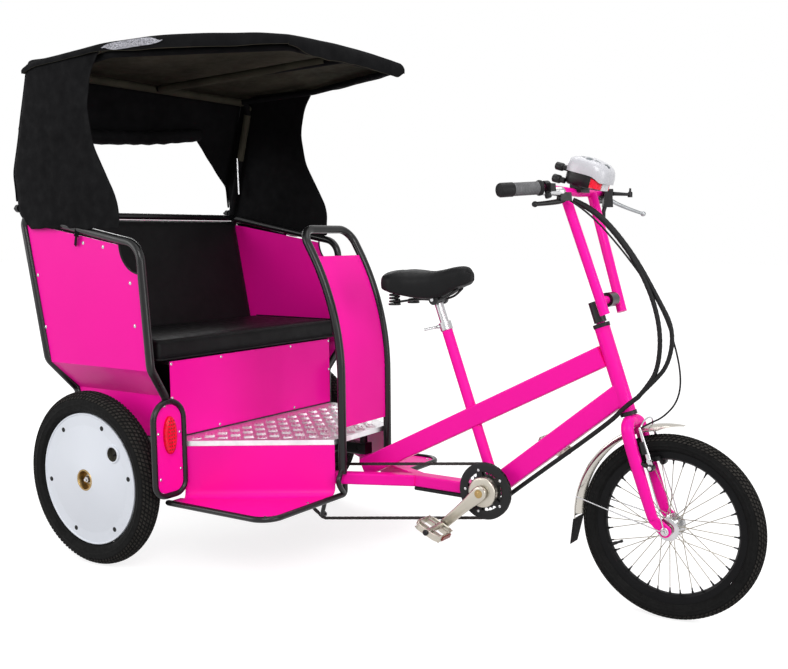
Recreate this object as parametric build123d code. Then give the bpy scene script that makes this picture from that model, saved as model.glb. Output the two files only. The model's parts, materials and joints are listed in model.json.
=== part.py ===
from build123d import *
import os
from math import acos, atan2, cos, degrees, hypot, pi, radians, sin, sqrt, tan

# Electric pedicab: a bicycle front end on one steered wheel, and a two-seat cabin with a hood over two disc
# wheels. Millimetres, +X forward, +Y to the rider's left, +Z up. The source works from the rear axle's middle
# at X = 0 and ground at Z = 0. Every piece is shifted at the end, so that the origin lies under the middle of
# the whole length.

# Wheels
WHEELBASE = 1727
FRONT_TYRE_R = 257
FRONT_TYRE_W = 54
REAR_TYRE_R = 279
REAR_TYRE_W = 76
REAR_TRACK = 1000
FRONT_RIM_SEAT_R = FRONT_TYRE_R - FRONT_TYRE_W
REAR_RIM_SEAT_R = REAR_TYRE_R - REAR_TYRE_W
RIM_FLANGE_H = 8
FRONT_RIM_DEPTH = 16
FRONT_RIM_W = 30
FRONT_RIM_BEVEL = 6
FRONT_RIM_WALL = 3
SPOKE_COUNT = 36
SPOKE_R = 1.1
SPOKE_CROSS_DEG = 48
SPOKE_RIM_Y = 4
SPOKE_HEAD_IN = 3
FRONT_HUB_R = 15
FRONT_HUB_HALF_W = 36
FRONT_FLANGE_R = 22
FRONT_FLANGE_Y = 29
FRONT_FLANGE_T = 3
DISC_T = 3
DISC_FLAT_W = 38
DISC_DISH = 16
DISC_BOLT_COUNT = 6
DISC_BOLT_FIRST_DEG = 7
DISC_BOLT_IN = 19
DISC_BOLT_R = 6.5
DISC_VALVE_R = 23
DISC_VALVE_IN = 52
DISC_VALVE_DEG = 38
REAR_RIM_W = 46
REAR_RIM_WALL = 12
HUB_RECESS_R = 29
HUB_RECESS_DEPTH = 22
HUB_R = 36
REAR_AXLE_R = 10
REAR_AXLE_END = 9
AXLE_TUBE_R = 20
AXLE_TUBE_GAP = 6
AXLE_BRACKET_L = 70
AXLE_BRACKET_DROP = 26
AXLE_BRACKET_BEND_R = 20
AXLE_BOSS_R = 30
FRONT_AXLE_R = 5
RUNNING_GAP = 0.05
SEAT_GAP = 0.3

# Steering
# Heights of the head's two ends, over the front tyre
HEAD_LOW_Z = 2 * FRONT_TYRE_R + 50
HEAD_HIGH_Z = HEAD_LOW_Z + 228
HEAD_TOP = (1514, HEAD_HIGH_Z)
HEAD_BOTTOM = (1595, HEAD_LOW_Z)
HEAD_TUBE_R = 22
STEERER_R = 14.3
STEERER_TOP_R = 12.8
CUP_R = 24
CUP_H = 11
FORK_LEG_R = 14
FORK_TIP_R = 9
FORK_HALF_W = 50
FORK_BEND_R = 34
FORK_TAPER_FROM = 0.86
DROPOUT_R = 13
DROPOUT_T = 8
AXLE_NUT_R = 9
AXLE_NUT_L = 10
AXLE_CONE_L = 10
CROWN_R = 19
CROWN_DROP = 19
CROWN_GAP = 3
MUDGUARD_GAP = 27
MUDGUARD_T = 1.5
MUDGUARD_HALF_W = 34
MUDGUARD_CROWN = 14
MUDGUARD_FRONT_DEG = 84
MUDGUARD_REAR_DEG = 182
MUDGUARD_POINT_L = 70
MUDGUARD_POINT_HALF_W = 8
FLAP_LENGTH = 72
FLAP_T = 4
FLAP_KICK = 27
FLAP_END_HALF_W = 22
STAY_R = 1.8
STAY_BACK_DEG = 14
STAY_HUB_BACK = 12
BRAKE_ARM_R = 6
BRAKE_BOSS_R = 7
BRAKE_AHEAD = 30
BRAKE_LOW = (1664, HEAD_LOW_Z - 112)
BRAKE_HIGH = (1672, HEAD_LOW_Z - 8)
BAR_R = 11.1
GRIP_R = 16
GRIP_FLANGE = 4
GRIP_FLANGE_L = 6
UPRIGHT_R = 14
UPRIGHT_LOW = (1547, 61, HEAD_HIGH_Z + 41)
UPRIGHT_TOP = (1436, 94, HEAD_HIGH_Z + 368)
CLAMP_BAR = (1534.6, HEAD_HIGH_Z + 78)
CLAMP_BAR_HALF_L = 64
CLAMP_HALF_L = 24
CLAMP_WALL = 9
GRIP_INNER = (1420, 203, HEAD_HIGH_Z + 375)
GRIP_END = (1365, 320, HEAD_HIGH_Z + 366)
BAR_BEND_R = 40
BAR_BEND_IN = 25
STEM_R = 15
STEM_SLEEVE_WALL = 3
STEM_TOP_Z = HEAD_HIGH_Z + 70
STEM_ARM_DROP = 18
LEVER_R = 5.5
LEVER_KNOB_R = 8
LEVER_CLAMP_L = 16
LEVER_CLAMP_WALL = 6
LEVER_ARM_R = 9
LEVER_INSET = 26
LEVER_REACH = 34
LEVER_DROP = 12
LEVER_KNEE = 20
LEVER_BLADE_L = 82
POD_W = 112
POD_EDGE_R = 30
POD_TOP_R = 16
POD_LOW_Z = HEAD_HIGH_Z + 421
POD_TOP_Z = POD_LOW_Z + 40
POD_AHEAD = 32
POD_BODY = (92, 100, 36)
POD_LENS = (14, 92, 30)
POD_KNOB_R = 12
POD_KNOB_L = 24
POD_KNOB_Y = 38
POD_FOOT = (34, 60, 40)

# Rear chassis: rails over the axle, from which the frame's and the cabin's heights follow
RAIL_Z = REAR_TYRE_R + 40
RAIL_Y = 150
RAIL_W = 40
RAIL_FRONT_X = 600
RAIL_REAR_X = -150
LOWER_TUBE_Z = RAIL_Z - 36
LOWER_TUBE_W = 36
LOWER_KINK_X = 880
LOWER_KINK_Y = 21
FLOOR_Z = RAIL_Z + 93

# Bicycle frame
TUBE_W = 40
TUBE_H = 60
TUBE_EDGE_R = 5
TOP_TUBE_HEAD = (1520, HEAD_LOW_Z + 149)
TOP_TUBE_REAR = (700, LOWER_TUBE_Z + 15)
DOWN_TUBE_HEAD = (1580, HEAD_LOW_Z + 52)
BB = (1180, LOWER_TUBE_Z + 14)
BB_SHELL_R = 22
BB_SHELL_L = 73
SEAT_TUBE_TOP = (1010, 759)
SEAT_TUBE_R = 16.5
SEAT_POST_R = 13.6
SEAT_POST_DEPTH = 70
COLLAR_H = 24
COLLAR_WALL = 3
QUICK_LEVER_R = 4
QUICK_BOLT_R = 6
QUICK_BOLT_END = (-30, -4)
# The quick-release lever's points from the collar's middle
QUICK_LEVER = ((-26, 0, -4), (-36, -14, -6), (-60, -28, -12))
QUICK_BEND_R = 8
SADDLE_CLAMP_Z = 838
SADDLE_CLAMP_R = 17
SADDLE_CLAMP_HALF_L = 32
SADDLE_CLAMP_RISE = 14
SADDLE_RAIL_R = 4
SADDLE_RAIL_Y = 24
SADDLE_RAIL_AHEAD = 44
SADDLE_RAIL_BACK = 50
SADDLE_SPRING = (856, 52)
SPRING_R = 17
SPRING_WAIST_R = 12
SPRING_COILS = 5
SPRING_LOW_Z = 834
# Sections of the saddle from rear to nose: X, half width, top, underside.
SADDLE_SECTIONS = (
    (812, 58, 931, 902),
    (826, 88, 941, 890),
    (866, 106, 946, 880),
    (940, 78, 941, 871),
    (1012, 43, 938, 876),
    (1062, 30, 941, 888),
    (1086, 14, 929, 900),
)
SADDLE_ROUND = 0.42

# Pedal drive
CHAIN_Y = 60
CHAIN_W = 7
CHAIN_H = 8.4
CHAIN_CORE_W = 4.4
CHAIN_CORE_H = 6
CHAIN_PITCH = 12.7
TOOTH_GAP = 0.6
TOOTH_DEPTH = 4.5
SPROCKET_T = 4
CHAINRING_PITCH_R = 81
CHAINRING_SLOT_R = 7
CHAINRING_SLOT_AT_R = 57
CHAINRING_SLOT_STEP_DEG = 14
CHAINRING_ARMS = 5
CRANK_LENGTH = 165
CRANK_DEG = 222
CRANK_Y = 96
CRANK_T = 16
CRANK_ROOT_R = 19
CRANK_TIP_R = 13
CRANK_AXLE_R = 8
CRANK_COVER_R = 46
PEDAL_W = 92
PEDAL_L = 96
PEDAL_T = 22
PEDAL_EDGE_R = 14
PEDAL_OPENING_L = 26
PEDAL_OPENING_X = 29
PEDAL_RIB = 12
PEDAL_GAP = 3
PEDAL_AXLE_R = 6
JACKSHAFT = (430, RAIL_Z - 67)
JACKSHAFT_R = 10
JACKSHAFT_END = 8
HANGER_T = 8
HANGER_IN = 30
HANGER_TOP_HALF_W = 22
HANGER_LOW_HALF_W = 16
JACK_PITCH_R = 34
IDLER = (574, RAIL_Z - 182)
IDLER_PITCH_R = 14
IDLER_AXLE_R = 4
IDLER_ARM_R = 7
IDLER_ARM_TOP = (640, 150)
IDLER_ARM_KNEE = (612, 100, 114)
AXLE_CHAIN_Y = 76
AXLE_PITCH_R = 46

# Cabin
SIDE_Y = REAR_TRACK / 2 - 22
WELL_Y = REAR_TRACK / 2 - 100
CABIN_TUBE_R = 13
PANEL_T = 2
FLARE_TOP_Z = FLOOR_Z + 222
FLARE_LOW_Z = FLOOR_Z + 133
SIDE_REAR_TOP = (-318, FLOOR_Z + 699)
SIDE_REAR_LOW = (-226, FLOOR_Z + 250)
SIDE_REAR_FOOT_X = -190
SIDE_FRONT_TOP = (222, FLOOR_Z + 604)
SIDE_FRONT_LOW = (250, FLOOR_Z + 250)
SIDE_FRONT_FOOT_X = 226
SIDE_BEND_R = 62
SIDE_FOOT_BEND_R = 30
SIDE_FLARE_BEND_R = 40
SIDE_BEND_RISE = 8
SIDE_BEND_DROP = 6
CORNER_CUT_R = 88
SEAT_FRONT_X = 240
SEAT_BASE_TOP_Z = FLOOR_Z + 243
SEAT_DECK_T = 10
SEAT_WALL_T = 4
SEAT_WALL_TOP_X = -221
SEAT_WALL_MID_X = -190
SEAT_WALL_LOW_X = -148
CUSHION_T = 72
CUSHION_REAR_X = -176
CUSHION_IN = 36
CUSHION_EDGE_R = 16
CUSHION_NOSE = 6
BACK_T = 45
BACK_IN = 14
BACK_LIFT = 8
FLOOR_T = 16
FLOOR_SHEET_T = 4
FLOOR_FRONT_X = 686
FLOOR_FRONT_HALF_W = 146
FLOOR_REAR_HALF_W = WELL_Y - 2
LAMP_PANEL_X = REAR_TYRE_R + 33
LAMP_PANEL_OUT_Y = REAR_TRACK / 2 + 40
LAMP_PANEL_IN_Y = WELL_Y + 4
LAMP_PANEL_TOP_Z = FLOOR_Z + 144
LAMP_PANEL_LOW_Z = FLOOR_Z - 162
LAMP_RIM_R = 9
LAMP_TOP_BEND_R = 58
LAMP_LOW_BEND_R = 40
LAMP_Z = FLOOR_Z + 33
LAMP_HALF_W = 24
LAMP_HALF_H = 58
LAMP_DEPTH = 12
STEP_Z = FLOOR_Z - 180
STEP_OUT_Y = WELL_Y + 68
STEP_FRONT_X = 694
STEP_BEND_R = 26
STEP_RAIL_R = 9
STEP_RAIL_IN_Y = 105
STEP_RAIL_BEND_R = 14
STEP_CORNER_R = 60
RISER_OUT = 2
RISER_END_IN = 6
SHIELD_HALF_W = 122
SHIELD_TUBE_R = 13
SHIELD_ARC_R = 764
SHIELD_STRAIGHT_Z = FLOOR_Z + 188
SHIELD_ARC_TOP_Z = FLOOR_Z + 578
SHIELD_TOP_Z = FLOOR_Z + 650
SHIELD_CORNER_R = 52
SHIELD_PANEL_LOW_Z = FLOOR_Z + 34
SHIELD_PANEL_TOP_Z = FLOOR_Z + 566

# Hood
HOOD_TUBE_R = 11
HOOD_RAIL_R = 10
HOOD_MIDDLE_R = 9
HOOD_HALF_W = SIDE_Y + 16
HOOD_REAR_X = -250
HOOD_BOW_X = -205
HOOD_BOW_DROP = 24
HOOD_BOW_BEND_R = 40
HOOD_FRONT_X = 655
HOOD_FRONT_HALF_W = 281
HOOD_REAR_Z = FLOOR_Z + 1168
HOOD_FABRIC_T = 4
HOOD_BAR_BACK = 22
HOOD_BAR_IN = 20
HOOD_BAR_RISE = 5
HOOD_RAIL_MID_X = 125
HOOD_RAIL_MID_DROP = 2
HOOD_RAIL_BENDS = (60, 36)
HOOD_RAIL_START_IN = 50
HOOD_VALANCE = 54
HOOD_HEM = 22
KNOB_RISE = 19
KNOB_R = 13
KNOB_NECK_R = 8
KNOB_END_R = 5
KNOB_TIP_X = -358

# Heavy masses
MOTOR_R = 95
MOTOR_W = 120
MOTOR_BEVEL = 12
BATTERY = (300, 340, 190)
BATTERY_X = 40

STEER_LEAN = atan2(HEAD_BOTTOM[0] - HEAD_TOP[0], HEAD_TOP[1] - HEAD_BOTTOM[1])
STEER_UP = Vector(-sin(STEER_LEAN), 0, cos(STEER_LEAN))
STEER_PLANE = Plane(origin=(HEAD_BOTTOM[0], 0, HEAD_BOTTOM[1]), x_dir=(0, 1, 0), z_dir=STEER_UP)
HEAD_L = hypot(HEAD_TOP[0] - HEAD_BOTTOM[0], HEAD_TOP[1] - HEAD_BOTTOM[1])
FRONT_AXLE = (WHEELBASE, FRONT_TYRE_R)
ORIGIN_X = (WHEELBASE + FRONT_TYRE_R + KNOB_TIP_X) / 2
SIDES = (("left", 1), ("right", -1))

BOTTOM = (Align.CENTER, Align.CENTER, Align.MIN)


def save(name, part):
    """Writes one node, shifted to the part's own origin."""
    export_step(Pos(-ORIGIN_X, 0, 0) * part, f"parts/{name}.step")


def mirrored(part):
    """The same piece on the other side of the middle plane."""
    return mirror(part, about=Plane.XZ)


def on_side(part, sign):
    """A piece drawn for the left side, placed on the side that sign gives."""
    return part if sign > 0 else mirrored(part)


def rod(a, b, r):
    """A round bar from point a to point b."""
    a, b = Vector(a), Vector(b)
    return Plane(origin=a, z_dir=b - a) * Cylinder(r, (b - a).length, align=BOTTOM)


def taper(a, b, r_a, r_b):
    """A round bar whose radius changes from r_a at a to r_b at b."""
    a, b = Vector(a), Vector(b)
    return Plane(origin=a, z_dir=b - a) * Cone(r_a, r_b, (b - a).length, align=BOTTOM)


def bent_rod(points, r, bends):
    """A round bar along straight runs joined by tangent bends."""
    path = FilletPolyline(*points, radius=bends)
    return sweep(Plane(origin=path @ 0, z_dir=path % 0) * Circle(r), path=path)


def box_tube(a, b, width, height):
    """A rectangular tube with rounded edges between two points, its width level."""
    a, b = Vector(a), Vector(b)
    level = Vector(0, 0, 1).cross(b - a).normalized()
    plane = Plane(origin=a, x_dir=level, z_dir=b - a)
    return extrude(plane * RectangleRounded(width, height, TUBE_EDGE_R), (b - a).length)


def across(x, z, r, y_from, y_to):
    """A round bar along Y."""
    return rod((x, y_from, z), (x, y_to, z), r)


def xz_plate(points, y_from, y_to):
    """A flat plate drawn as X, Z points and thick along Y."""
    outline = Polyline(*[(x, y_from, z) for x, z in points], close=True)
    return extrude(make_face(outline), y_to - y_from, dir=(0, 1, 0))


def xy_plate(points, z_from, z_to):
    """A flat plate drawn as X, Y points and thick along Z."""
    return extrude(Pos(0, 0, z_from) * make_face(Polyline(*points, close=True)), z_to - z_from)


def yz_plate(points, x_from, x_to):
    """A flat plate drawn as Y, Z points and thick along X."""
    outline = Polyline(*[(x_from, y, z) for y, z in points], close=True)
    return extrude(make_face(outline), x_to - x_from, dir=(1, 0, 0))


def seat_axis(z):
    """The point of the seat tube's axis at a height."""
    share = (z - BB[1]) / (SEAT_TUBE_TOP[1] - BB[1])
    return (BB[0] + share * (SEAT_TUBE_TOP[0] - BB[0]), 0, z)


def steer_axis(z):
    """The point of the steering axis at a height."""
    return (HEAD_BOTTOM[0] - (z - HEAD_BOTTOM[1]) * tan(STEER_LEAN), 0, z)


def ring(profile, axis_x, axis_z):
    """A revolved ring. The profile is drawn with radius along X and width along Y."""
    placed = Pos(axis_x, 0, axis_z) * profile
    return revolve(placed, axis=Axis((axis_x, 0, axis_z), (0, 1, 0)))


def between(outer, inner):
    """The face between two open lines that run the same way."""
    return make_face([*outer.edges(), *inner.edges(), Line(outer @ 0, inner @ 0), Line(outer @ 1, inner @ 1)])


def upright(y):
    """A plane along the part at one Y, drawn with X along X and Y along Z."""
    return Plane(origin=(0, y, 0), x_dir=(1, 0, 0), z_dir=(0, -1, 0))


# Front wheel
def front_tyre():
    r = FRONT_TYRE_W / 2
    section = Pos(FRONT_TYRE_R - r, 0) * Circle(r)
    bead = Pos(FRONT_RIM_SEAT_R - SEAT_GAP, 0) * Rectangle(2 * RIM_FLANGE_H, FRONT_RIM_W + 2 * SEAT_GAP)
    return ring(section - bead, *FRONT_AXLE)


def front_rim():
    outer = FRONT_RIM_SEAT_R + RIM_FLANGE_H - SEAT_GAP
    inner = FRONT_RIM_SEAT_R - FRONT_RIM_DEPTH
    half = FRONT_RIM_W / 2
    bevel = FRONT_RIM_BEVEL
    outline = Polyline((outer, half), (outer, -half), (inner + bevel, -half), (inner, -bevel), (inner, bevel),
                       (inner + bevel, half), close=True)
    well = Pos(outer, 0) * Rectangle(2 * (outer - FRONT_RIM_SEAT_R), FRONT_RIM_W - 2 * FRONT_RIM_WALL)
    return ring(make_face(outline) - well, *FRONT_AXLE)


def front_hub_spokes():
    """The hub shell with two flanges, and spokes laced from the flanges to the rim."""
    hub = across(*FRONT_AXLE, FRONT_HUB_R, -FRONT_HUB_HALF_W, FRONT_HUB_HALF_W)
    for _, sign in SIDES:
        y = sign * FRONT_FLANGE_Y
        hub += across(*FRONT_AXLE, FRONT_FLANGE_R, y - FRONT_FLANGE_T / 2, y + FRONT_FLANGE_T / 2)
    reach = FRONT_RIM_SEAT_R - FRONT_RIM_DEPTH - SEAT_GAP
    root = FRONT_FLANGE_R - SPOKE_HEAD_IN
    for k in range(SPOKE_COUNT):
        sign = 1 if k % 2 else -1
        lean = radians(SPOKE_CROSS_DEG) * (1 if k % 4 < 2 else -1)
        at_rim = 2 * pi * k / SPOKE_COUNT
        at_hub = at_rim + lean
        low = (FRONT_AXLE[0] + root * cos(at_hub), sign * FRONT_FLANGE_Y, FRONT_AXLE[1] + root * sin(at_hub))
        high = (FRONT_AXLE[0] + reach * cos(at_rim), sign * SPOKE_RIM_Y, FRONT_AXLE[1] + reach * sin(at_rim))
        hub += rod(low, high, SPOKE_R)
    return hub - across(*FRONT_AXLE, FRONT_AXLE_R + RUNNING_GAP, -FORK_HALF_W, FORK_HALF_W)


# Rear wheels, drawn for the left side
def rear_tyre():
    r = REAR_TYRE_W / 2
    middle = REAR_TRACK / 2
    section = Pos(REAR_TYRE_R - r, middle) * Circle(r)
    bead = Pos(REAR_RIM_SEAT_R - SEAT_GAP, middle) * Rectangle(2 * RIM_FLANGE_H, REAR_RIM_W + 2 * SEAT_GAP)
    return ring(section - bead, 0, REAR_TYRE_R)


def rear_wheel():
    """A rim between a flat inner cover and a dished outer cover, on a hub with a recess for the axle's end."""
    middle = REAR_TRACK / 2
    half = REAR_RIM_W / 2
    face = middle + half
    rim_r = REAR_RIM_SEAT_R + RIM_FLANGE_H - SEAT_GAP
    flat_r = rim_r - DISC_FLAT_W
    crest = face + DISC_DISH
    rim = Pos(rim_r - REAR_RIM_WALL / 2, middle) * Rectangle(REAR_RIM_WALL, REAR_RIM_W)
    inner_cover = Pos(rim_r / 2, middle - half + DISC_T / 2) * Rectangle(rim_r, DISC_T)
    outer_cover = make_face(Polyline((rim_r, face), (flat_r, face), (HUB_R, crest), (HUB_R, crest - DISC_T),
                                     (flat_r, face - DISC_T), (rim_r, face - DISC_T), close=True))
    hub = Pos(HUB_R / 2, middle + DISC_DISH / 2) * Rectangle(HUB_R, REAR_RIM_W + DISC_DISH)
    recess = Pos(HUB_RECESS_R / 2, crest - HUB_RECESS_DEPTH / 2) * Rectangle(HUB_RECESS_R, HUB_RECESS_DEPTH)
    bore_r = REAR_AXLE_R + RUNNING_GAP
    bore = Pos(bore_r / 2, middle) * Rectangle(bore_r, 2 * (REAR_RIM_W + DISC_DISH))
    wheel = ring(rim + inner_cover + outer_cover + hub - recess - bore, 0, REAR_TYRE_R)
    # Openings in the outer cover: angle, distance from the middle, radius.
    openings = [(DISC_BOLT_FIRST_DEG + 360 * k / DISC_BOLT_COUNT, REAR_RIM_SEAT_R - DISC_BOLT_IN, DISC_BOLT_R)
                for k in range(DISC_BOLT_COUNT)]
    openings.append((DISC_VALVE_DEG, REAR_RIM_SEAT_R - DISC_VALVE_IN, DISC_VALVE_R))
    for angle, reach, r in openings:
        x, z = reach * cos(radians(angle)), reach * sin(radians(angle))
        wheel -= across(x, REAR_TYRE_R + z, r, face - 2 * DISC_T, crest)
    return wheel


# Bicycle frame
def bicycle_frame():
    head = rod((HEAD_BOTTOM[0], 0, HEAD_BOTTOM[1]), (HEAD_TOP[0], 0, HEAD_TOP[1]), HEAD_TUBE_R)
    shell = across(*BB, BB_SHELL_R, -BB_SHELL_L / 2, BB_SHELL_L / 2)
    frame = head + shell
    top_rear, top_head = (TOP_TUBE_REAR[0], 0, TOP_TUBE_REAR[1]), (TOP_TUBE_HEAD[0], 0, TOP_TUBE_HEAD[1])
    frame += box_tube(top_rear, top_head, TUBE_W, TUBE_H)
    frame += box_tube((BB[0], 0, BB[1]), (DOWN_TUBE_HEAD[0], 0, DOWN_TUBE_HEAD[1]), TUBE_W, TUBE_H)
    seat_tube = rod((BB[0], 0, BB[1]), (SEAT_TUBE_TOP[0], 0, SEAT_TUBE_TOP[1]), SEAT_TUBE_R)
    frame += seat_tube
    frame += lower_tubes()
    bore_l = HEAD_L + 2 * HEAD_TUBE_R
    frame -= STEER_PLANE * Pos(0, 0, -HEAD_TUBE_R) * Cylinder(STEERER_R + RUNNING_GAP, bore_l, align=BOTTOM)
    frame -= across(*BB, CRANK_AXLE_R + RUNNING_GAP, -BB_SHELL_L, BB_SHELL_L)
    post_low = seat_axis(SEAT_TUBE_TOP[1] - SEAT_POST_DEPTH)
    frame -= rod(post_low, seat_axis(SEAT_TUBE_TOP[1] + SEAT_TUBE_R), SEAT_POST_R)
    return frame


def lower_tubes():
    """One tube back from the crank that forks into two tubes spreading to the cabin's rails."""
    z = LOWER_TUBE_Z
    start = (BB[0] - BB_SHELL_R + TUBE_EDGE_R, 0, z)
    tubes = box_tube(start, (LOWER_KINK_X, 0, z), 2 * LOWER_KINK_Y + TUBE_EDGE_R, LOWER_TUBE_W)
    for sign in (1, -1):
        kink = (LOWER_KINK_X + LOWER_TUBE_W / 2, sign * LOWER_KINK_Y / 2, z)
        tubes += box_tube(kink, (RAIL_FRONT_X - RAIL_W / 2, sign * RAIL_Y, z), LOWER_TUBE_W, LOWER_TUBE_W)
    return tubes


def rear_subframe():
    """Two rails under the cabin, the rear cross tube, and the posts and tubes that carry the floor."""
    rear = RAIL_REAR_X + RAIL_W / 2
    frame = box_tube((rear, -RAIL_Y, RAIL_Z), (rear, RAIL_Y, RAIL_Z), RAIL_W, RAIL_W)
    for sign in (1, -1):
        y = sign * RAIL_Y
        frame += box_tube((RAIL_REAR_X, y, RAIL_Z), (RAIL_FRONT_X, y, RAIL_Z), RAIL_W, RAIL_W)
    tube_z = FLOOR_Z - FLOOR_T - CABIN_TUBE_R - SEAT_GAP
    wide = WELL_Y - CABIN_TUBE_R - SEAT_GAP
    ahead = RAIL_FRONT_X - RAIL_W / 2
    # Cross tubes under the floor and seat box: X, half length.
    for x, half in ((rear, wide), (SEAT_FRONT_X, wide), (JACKSHAFT[0], RAIL_Y), (ahead, RAIL_Y)):
        frame += rod((x, -half, tube_z), (x, half, tube_z), CABIN_TUBE_R)
        for sign in (1, -1):
            frame += rod((x, sign * RAIL_Y, RAIL_Z), (x, sign * RAIL_Y, tube_z), CABIN_TUBE_R)
    return frame - lower_tubes()


def rear_axle():
    """The fixed axle tube with its stubs through the wheels and the brackets up to the rails."""
    inner = REAR_TRACK / 2 - REAR_RIM_W / 2 - AXLE_TUBE_GAP
    axle = across(0, REAR_TYRE_R, AXLE_TUBE_R, -inner, inner)
    stub = REAR_TRACK / 2 + REAR_RIM_W / 2 + DISC_DISH - HUB_RECESS_DEPTH + REAR_AXLE_END
    axle += across(0, REAR_TYRE_R, REAR_AXLE_R, -stub, stub)
    low = REAR_TYRE_R - AXLE_BRACKET_DROP
    high = RAIL_Z - RAIL_W / 2
    for sign in (1, -1):
        block = Pos(0, sign * RAIL_Y, (low + high) / 2) * Box(AXLE_BRACKET_L, RAIL_W, high - low)
        axle += fillet(block.edges().filter_by(Axis.Y).group_by(Axis.Z)[0], AXLE_BRACKET_BEND_R)
    motor_half = MOTOR_W / 2
    return axle - across(0, REAR_TYRE_R, AXLE_BOSS_R, -motor_half, motor_half)


def drive_motor():
    """The drum of the motor and differential on the axle, and the sprocket beside it."""
    half = MOTOR_W / 2
    case = across(0, REAR_TYRE_R, MOTOR_R, -half, half)
    case = chamfer(case.edges().filter_by(GeomType.CIRCLE), MOTOR_BEVEL)
    case += across(0, REAR_TYRE_R, AXLE_BOSS_R, half - SPROCKET_T, AXLE_CHAIN_Y + SPROCKET_T)
    case += sprocket(0, REAR_TYRE_R, AXLE_PITCH_R, AXLE_CHAIN_Y)
    return case - across(0, REAR_TYRE_R, AXLE_TUBE_R + SEAT_GAP, half, 2 * half)


# Seat post and saddle
def seat_post():
    """The post, the collar round the seat tube's mouth and its quick-release lever."""
    mouth = SEAT_TUBE_TOP[1]
    post = rod(seat_axis(mouth - SEAT_POST_DEPTH), seat_axis(SADDLE_CLAMP_Z), SEAT_POST_R)
    post += rod(seat_axis(mouth + SEAT_GAP), seat_axis(mouth + COLLAR_H), SEAT_TUBE_R + COLLAR_WALL)
    x, _, z = seat_axis(mouth + COLLAR_H / 2)
    post += rod((x - SEAT_POST_R, 0, z), (x + QUICK_BOLT_END[0], 0, z + QUICK_BOLT_END[1]), QUICK_BOLT_R)
    lever = [(x + ahead, side, z + rise) for ahead, side, rise in QUICK_LEVER]
    return post + bent_rod(lever, QUICK_LEVER_R, QUICK_BEND_R)


def saddle():
    """A padded form lofted from the wide rear over a dipped middle to the raised nose."""
    faces = []
    for x, half, top, low in SADDLE_SECTIONS:
        plane = Plane(origin=(x, 0, (top + low) / 2), x_dir=(0, 1, 0), z_dir=(1, 0, 0))
        faces.append(plane * RectangleRounded(2 * half, top - low, SADDLE_ROUND * min(2 * half, top - low)))
    return loft(faces)


def saddle_spring(y):
    """One ribbed spring under the saddle's rear, from its foot up into the saddle."""
    x = SADDLE_SPRING[0]
    top = SADDLE_SECTIONS[2][3]
    step = (top - SPRING_LOW_Z) / SPRING_COILS
    outline = [(0, SPRING_LOW_Z)]
    for k in range(SPRING_COILS):
        low = SPRING_LOW_Z + k * step
        outline += [(SPRING_WAIST_R, low), (SPRING_R, low + step / 4), (SPRING_R, low + step * 3 / 4)]
    outline += [(SPRING_WAIST_R, top), (SPRING_WAIST_R, top + step), (0, top + step)]
    profile = make_face(Polyline(*[(x + r, y, z) for r, z in outline], close=True))
    return revolve(profile, axis=Axis((x, y, 0), (0, 0, 1)))


def saddle_springs():
    """The clamp, two rails and the rear springs under the saddle."""
    clamp_x, _, clamp_z = seat_axis(SADDLE_CLAMP_Z)
    rail_z = clamp_z + SADDLE_CLAMP_RISE
    spring_x, spring_y = SADDLE_SPRING
    springs = across(clamp_x, rail_z, SADDLE_CLAMP_R, -SADDLE_CLAMP_HALF_L, SADDLE_CLAMP_HALF_L)
    nose_x, _, _, nose_z = SADDLE_SECTIONS[-2]
    for _, sign in SIDES:
        y = sign * SADDLE_RAIL_Y
        rail = [(nose_x, y / 2, nose_z), (clamp_x + SADDLE_RAIL_AHEAD, y, rail_z),
                (clamp_x - SADDLE_RAIL_BACK, y, rail_z), (spring_x, sign * spring_y, SPRING_LOW_Z + SPRING_R / 2)]
        springs += bent_rod(rail, SADDLE_RAIL_R, SADDLE_CLAMP_RISE)
        springs += saddle_spring(sign * spring_y)
    low, high = seat_axis(SADDLE_CLAMP_Z - SEAT_POST_DEPTH), seat_axis(SADDLE_CLAMP_Z + SEAT_GAP)
    return springs - rod(low, high, SEAT_POST_R + SEAT_GAP) - saddle()


# Pedal drive
def tangent_loop(circles, grow):
    """The closed face round circles given counter-clockwise as x, z, radius, grown by a distance."""
    edges = []
    count = len(circles)
    angles = []
    for k in range(count):
        x0, z0, r0 = circles[k]
        x1, z1, r1 = circles[(k + 1) % count]
        along = atan2(z1 - z0, x1 - x0)
        angles.append(along - acos((r0 - r1) / hypot(x1 - x0, z1 - z0)))
    for k in range(count):
        x0, z0, r0 = circles[k]
        x1, z1, r1 = circles[(k + 1) % count]
        start, end = angles[k - 1], angles[k]
        if end < start:
            end += 2 * pi
        r0, r1 = r0 + grow, r1 + grow
        spots = [(x0 + r0 * cos(a), z0 + r0 * sin(a)) for a in (start, (start + end) / 2, end)]
        edges.append(ThreePointArc(*spots))
        edges.append(Line(spots[2], (x1 + r1 * cos(end), z1 + r1 * sin(end))))
    return make_face(edges)


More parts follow.
